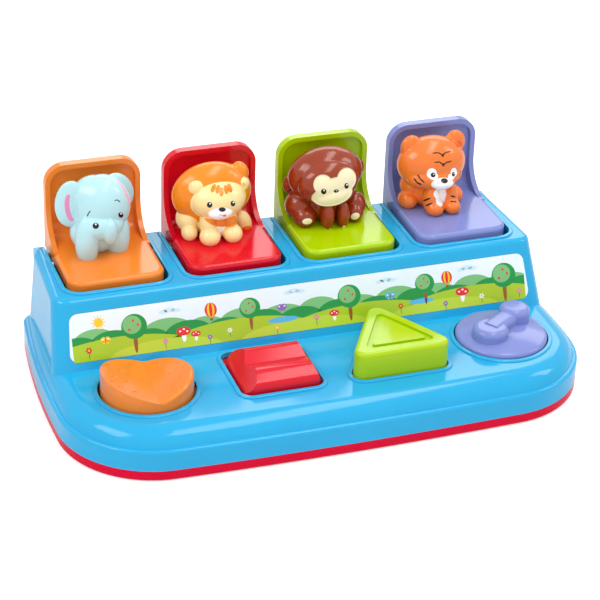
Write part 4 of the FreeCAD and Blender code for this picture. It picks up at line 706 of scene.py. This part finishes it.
class TOY_OT_print(bpy.types.Operator):
    """Printed film with a meadow, trees, flowers and toadstools in glossy inks."""
    bl_idname = "toy.print"
    bl_label = "Printed Scene"

    def execute(self, context):
        inks = context.scene.toy_inks
        names = list(inks.__annotations__)
        # Screen ink lies flat on the film and gives the eye clean patches under a smooth gloss.
        skins = [plastic("Glossy screen ink, " + name, getattr(inks, name), 0.14, peel=0.04)
                 for name in names]
        self.colours = {name: index for index, name in enumerate(names)}
        dress("scene_sticker", skins[0])
        low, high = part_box("scene_sticker")
        lean = context.scene.toy_sculpt.print_slope
        self.plane = Matrix.Translation((low + high) / 2) @ Matrix.Rotation(-lean, 4, "X")
        self.face = -FILM_THICK / 2
        self.mesh = bmesh.new()
        self.land()
        for across, up, size in ((-101, 2.4, 7.4), (-33, 3.6, 6.2), (27, 2.4, 7), (74, 3.6, 6),
                                 (124, 2, 7.6)):
            self.tree(across, up, size)
        for across, up, size, petals in ((-128, -7.6, 2, "red"), (-84, -8.4, 1.7, "pink"),
                                         (-58, -9.6, 1.6, "violet"), (-46, -7.4, 1.5, "white"),
                                         (-18, -9.8, 1.6, "yellow"), (6, -7.2, 1.9, "pink"),
                                         (44, -9.6, 1.6, "white"), (58, -7.6, 1.8, "red"),
                                         (86, -9.8, 1.7, "violet"), (109, -8.4, 1.6, "white"),
                                         (133, -8.4, 1.7, "pink")):
            self.flower(across, up, size, petals)
        for across, up, size in ((-73, -5.2, 5), (-66, -7.2, 3.4), (17, -6.8, 3.6), (97, -5.2, 5)):
            self.toadstool(across, up, size)
        self.sun(-121, 7.2)
        for across, up in ((-80, 8.6), (-6, 9.6), (50, 8.6), (101, 9)):
            self.cloud(across, up)
        self.balloon(-56, 5.6, 1.5)
        self.balloon(88, 5.2, 1.4)
        for across, up, wings in ((-14, 1.2, "violet"), (52, -1, "blue"), (-118, -3.4, "yellow")):
            self.butterfly(across, up, wings)
        self.trim()
        bmesh.ops.recalc_face_normals(self.mesh, faces=self.mesh.faces)
        finish_piece("garden_print", self.mesh, skins, "case", smooth=False)
        return {"FINISHED"}

    def dab(self, ink, across, up, half_across, half_up, layer, roll=0):
        """One patch of ink, a thin closed disc; later layers stand a hair prouder."""
        rise = (layer + 1) * INK_THICK
        place = Matrix.Translation(Vector((across, self.face - rise / 2, up)) * MM)
        turn = Matrix.Rotation(math.radians(-roll), 4, "Y") @ Matrix.Rotation(math.radians(90), 4, "X")
        size = Matrix.Diagonal((half_across * MM, half_up * MM, rise * MM, 1))
        # A wide disc has more corners, so that its outline looks round.
        corners = 48 if half_across > 6 else 20
        disc = bmesh.ops.create_cone(self.mesh, cap_ends=True, segments=corners, radius1=1, radius2=1,
                                     depth=1, matrix=self.plane @ place @ turn @ size)
        for face in {face for vertex in disc["verts"] for face in vertex.link_faces}:
            face.material_index = self.colours[ink]

    def trim(self):
        """Cut the inks off at the film's rounded outline."""
        middle = FILM_TALL / 2 - FILM_CORNER
        for side in (-1, 1):
            for end, half in ((1, FILM_HALF_TOP), (-1, FILM_HALF_FOOT)):
                for step in range(CORNER_CUTS):
                    angle = math.radians(step * 90 / (CORNER_CUTS - 1))
                    normal = Vector((side * math.cos(angle), 0, end * math.sin(angle)))
                    corner = Vector((side * (half - FILM_CORNER), 0, end * middle))
                    self.cut((corner + normal * FILM_CORNER) * MM, normal)

    def cut(self, point, normal):
        """Clear what lies past a plane and close the discs that it opens."""
        parts = self.mesh.verts[:] + self.mesh.edges[:] + self.mesh.faces[:]
        bmesh.ops.bisect_plane(self.mesh, geom=parts, plane_co=self.plane @ point,
                               plane_no=self.plane.to_3x3() @ normal, clear_outer=True)
        open_edges = [edge for edge in self.mesh.edges if edge.is_boundary]
        if open_edges:
            bmesh.ops.holes_fill(self.mesh, edges=open_edges, sides=0)

    def land(self):
        """Far hills, near hills, meadow, light grass and two ponds."""
        for across, half, top in ((-124, 13, 4), (-104, 12, 2), (-82, 15, 4.6), (-60, 13, 2.6),
                                  (-38, 14, 4.4), (-14, 15, 3.2), (8, 13, 4.6), (32, 15, 2.6),
                                  (56, 14, 4.4), (80, 15, 3), (104, 13, 4.8), (128, 15, 3)):
            self.dab("leaf", across, top - 8, half, 8, 1)
        for across, half, top in ((-134, 12, 1), (-114, 13, 2.4), (-93, 12, 0.6), (-70, 14, 2.2),
                                  (-48, 13, 0.8), (-26, 13, 2.4), (-3, 14, 1), (20, 13, 2.2),
                                  (44, 14, 0.8), (68, 13, 2.2), (92, 14, 0.8), (116, 13, 2.2),
                                  (136, 12, 1)):
            self.dab("hedge", across, top - 8, half, 7.5, 2)
        for across, half, top in ((-110, 50, -1.6), (-40, 50, -0.8), (34, 52, -1.8), (104, 50, -1)):
            self.dab("meadow", across, top - 15, half, 14.5, 3)
        for across, half, top in ((-84, 34, -6.4), (0, 40, -5.8), (84, 36, -6.2)):
            self.dab("grass", across, top - 9, half, 8.5, 4)
        self.dab("blue", -14, -5.6, 9, 1.7, 5)
        self.dab("blue", 71, -6.4, 8, 1.5, 5)

    def tree(self, across, up, size):
        """A round apple tree; its middle is the crown's."""
        self.dab("bark", across, up - size * 1.15, size * 0.16, size * 0.9, 5)
        self.dab("hedge", across, up, size, size * 0.95, 6)
        self.dab("leaf", across - size * 0.16, up + size * 0.14, size * 0.74, size * 0.7, 7)
        for shift, rise in ((0.3, 0.1), (-0.4, -0.2), (-0.05, 0.45)):
            self.dab("red", across + size * shift, up + size * rise, size * 0.1, size * 0.1, 8)

    def flower(self, across, up, size, petals):
        """A stalk, six petals and an eye."""
        self.dab("hedge", across, up - size * 1.4, size * 0.12, size * 1.3, 6)
        for step in range(3):
            self.dab(petals, across, up, size, size * 0.36, 7, step * 60)
        self.dab("white" if petals == "yellow" else "yellow", across, up, size * 0.34, size * 0.34, 8)

    def butterfly(self, across, up, wings):
        """Two pairs of spotted wings on a body."""
        for side in (-1, 1):
            self.dab(wings, across + side * 1.5, up + 0.8, 1.7, 1.25, 7, side * -35)
            self.dab(wings, across + side * 1.1, up - 0.9, 1.1, 0.9, 7, side * 30)
            self.dab("white", across + side * 1.6, up + 0.8, 0.5, 0.4, 8)
        self.dab("bark", across, up, 0.3, 1.8, 8)

    def toadstool(self, across, up, size):
        """A spotted cap on a stalk."""
        self.dab("white", across, up - size * 0.4, size * 0.26, size * 0.62, 6)
        self.dab("red", across, up + size * 0.2, size * 0.85, size * 0.5, 7)
        for shift, rise in ((-0.4, 0.22), (0.05, 0.42), (0.42, 0.14)):
            self.dab("white", across + size * shift, up + size * rise, size * 0.13, size * 0.1, 8)

    def sun(self, across, up):
        """A disc with rays."""
        for step in range(6):
            self.dab("yellow", across, up, 4.6, 0.35, 1, step * 30)
        self.dab("yellow", across, up, 2.6, 2.6, 2)

    def cloud(self, across, up):
        """Three flat puffs."""
        for shift, rise, half in ((-3.6, -0.5, 2.6), (0, 0.3, 3.4), (3.8, -0.4, 2.8)):
            self.dab("cloud", across + shift, up + rise, half, half * 0.42, 1)

    def balloon(self, across, up, size):
        """A striped balloon with its basket."""
        self.dab("bark", across, up - size * 3.6, size * 0.7, size * 0.5, 2)
        self.dab("red", across, up, size * 2.4, size * 2.8, 3)
        self.dab("yellow", across, up, size * 1.5, size * 2.78, 4)
        self.dab("red", across, up, size * 0.6, size * 2.76, 5)


class TOY_OT_studio(bpy.types.Operator):
    """Pale floor, soft boxes and the camera."""
    bl_idname = "toy.studio"
    bl_label = "Studio"

    def execute(self, context):
        scene = context.scene
        studio = scene.toy_studio
        scene.view_settings.view_transform = "Standard"
        self.make_floor(studio.floor_glow)
        self.make_world(studio.world_light)
        self.make_camera(scene, studio)
        self.soft_box("Left soft box", (-0.86, -0.16, 0.95), (0.7, 0.5), studio.left_power)
        self.soft_box("Top strip light", (0.3, -0.1, 1.15), (1.3, 0.25), studio.strip_power)
        self.soft_box("Rear soft box", (0.5, 1.15, 0.8), (1.4, 0.4), studio.rear_power)
        self.soft_box("Right soft box", (0.95, -0.2, 0.75), (0.25, 0.5), studio.right_power)
        self.soft_box("Overhead fill", (-0.1, -0.2, 1.3), (1.4, 1.4), studio.top_power, mirrored=False)
        self.soft_box("Front fill", (-0.3, -1.35, 0.6), (1.2, 0.9), studio.front_power, mirrored=False)
        return {"FINISHED"}

    def make_floor(self, glow):
        """A matt white sweep that keeps the toy's shadow."""
        mesh = bmesh.new()
        bmesh.ops.create_grid(mesh, x_segments=1, y_segments=1, size=6)
        data = bpy.data.meshes.new("floor")
        mesh.to_mesh(data)
        mesh.free()
        floor = bpy.data.objects.new("floor", data)
        bpy.context.scene.collection.objects.link(floor)
        # Matt card gives the eye an even white with no glint, and the camera sees it lifted a little.
        material, tree, shader, _ = new_material("Matt white sweep")
        shader.inputs["Base Color"].default_value = linear("#F4F4F4")
        shader.inputs["Roughness"].default_value = 0.8
        shader.inputs["Emission Color"].default_value = (1, 1, 1, 1)
        rays = add(tree, "ShaderNodeLightPath")
        lift = add(tree, "ShaderNodeMath", (0, rays.outputs["Is Camera Ray"]), operation="MULTIPLY")
        lift.inputs[1].default_value = glow
        tree.links.new(lift.outputs[0], shader.inputs["Emission Strength"])
        data.materials.append(material)

    def make_world(self, strength):
        """Soft light all round, behind a plain white that is only seen."""
        world = bpy.data.worlds.new("Studio")
        bpy.context.scene.world = world
        world.use_nodes = True
        tree = world.node_tree
        tree.nodes.clear()
        rays = add(tree, "ShaderNodeLightPath")
        direct = add(tree, "ShaderNodeMath", (0, rays.outputs["Is Camera Ray"]),
                     (1, rays.outputs["Is Glossy Ray"]), operation="MAXIMUM")
        seen = add(tree, "ShaderNodeMath", (0, direct.outputs[0]),
                   (1, rays.outputs["Is Transmission Ray"]), operation="MAXIMUM")
        dim = add(tree, "ShaderNodeBackground", Strength=strength)
        white = add(tree, "ShaderNodeBackground", Strength=1.0)
        pick = add(tree, "ShaderNodeMixShader", (0, seen.outputs[0]), (1, dim.outputs[0]),
                   (2, white.outputs[0]))
        for sky in (dim, white):
            sky.inputs["Color"].default_value = (1, 1, 1, 1)
        add(tree, "ShaderNodeOutputWorld", ("Surface", pick.outputs[0]))

    def make_camera(self, scene, studio):
        """A camera from its eye, right and upward directions."""
        right = Vector(studio.right)
        upward = Vector(studio.upward)
        backward = right.cross(upward)
        data = bpy.data.cameras.new("camera")
        data.lens = studio.lens
        data.sensor_width = 36
        data.clip_start = 0.05
        camera = bpy.data.objects.new("camera", data)
        scene.collection.objects.link(camera)
        turn = Matrix((right, upward, backward)).transposed().to_4x4()
        camera.matrix_world = Matrix.Translation(studio.eye) @ turn
        scene.camera = camera

    def soft_box(self, name, place, size, watts, mirrored=True):
        """An area lamp that faces the toy; one that isn't mirrored leaves no glint."""
        data = bpy.data.lights.new(name, "AREA")
        data.shape = "RECTANGLE"
        data.size, data.size_y = size
        data.energy = watts
        lamp = bpy.data.objects.new(name, data)
        bpy.context.scene.collection.objects.link(lamp)
        lamp.location = place
        lamp.rotation_euler = (TOY_MIDDLE - Vector(place)).to_track_quat("-Z", "Y").to_euler()
        lamp.visible_glossy = mirrored


class TOY_PT_panel(bpy.types.Panel):
    """Lists the toy's operators and settings."""
    bl_idname = "TOY_PT_panel"
    bl_label = "Pop Up Animal Toy"
    bl_space_type = "VIEW_3D"
    bl_region_type = "UI"
    bl_category = "Toy"

    def draw(self, context):
        for step in STEPS:
            self.layout.operator(step.bl_idname)
        for group in SETTINGS:
            settings = getattr(context.scene, group)
            box = self.layout.box()
            for name in settings.__annotations__:
                box.prop(settings, name)


SETTINGS = {"toy_plastics": PlasticColours, "toy_paints": PaintColours, "toy_inks": PrintColours,
            "toy_sculpt": Sculpt, "toy_studio": StudioSettings}
STEPS = (TOY_OT_case, TOY_OT_flaps, TOY_OT_controls, TOY_OT_works, TOY_OT_elephant, TOY_OT_lion,
         TOY_OT_monkey, TOY_OT_tiger, TOY_OT_print, TOY_OT_studio)


def register():
    """Add the settings, the operators and the panel."""
    for group in SETTINGS.values():
        bpy.utils.register_class(group)
    for kind in STEPS + (TOY_PT_panel,):
        bpy.utils.register_class(kind)
    for name, group in SETTINGS.items():
        setattr(bpy.types.Scene, name, PointerProperty(type=group))


def unregister():
    """Take them away again, the last first."""
    for name in SETTINGS:
        delattr(bpy.types.Scene, name)
    for kind in reversed(STEPS + (TOY_PT_panel,)):
        bpy.utils.unregister_class(kind)
    for group in reversed(list(SETTINGS.values())):
        bpy.utils.unregister_class(group)


def main():
    """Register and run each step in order."""
    register()
    for step in STEPS:
        family, action = step.bl_idname.split(".")
        getattr(getattr(bpy.ops, family), action)()
    bpy.context.view_layer.update()


if __name__ == "__main__":
    main()
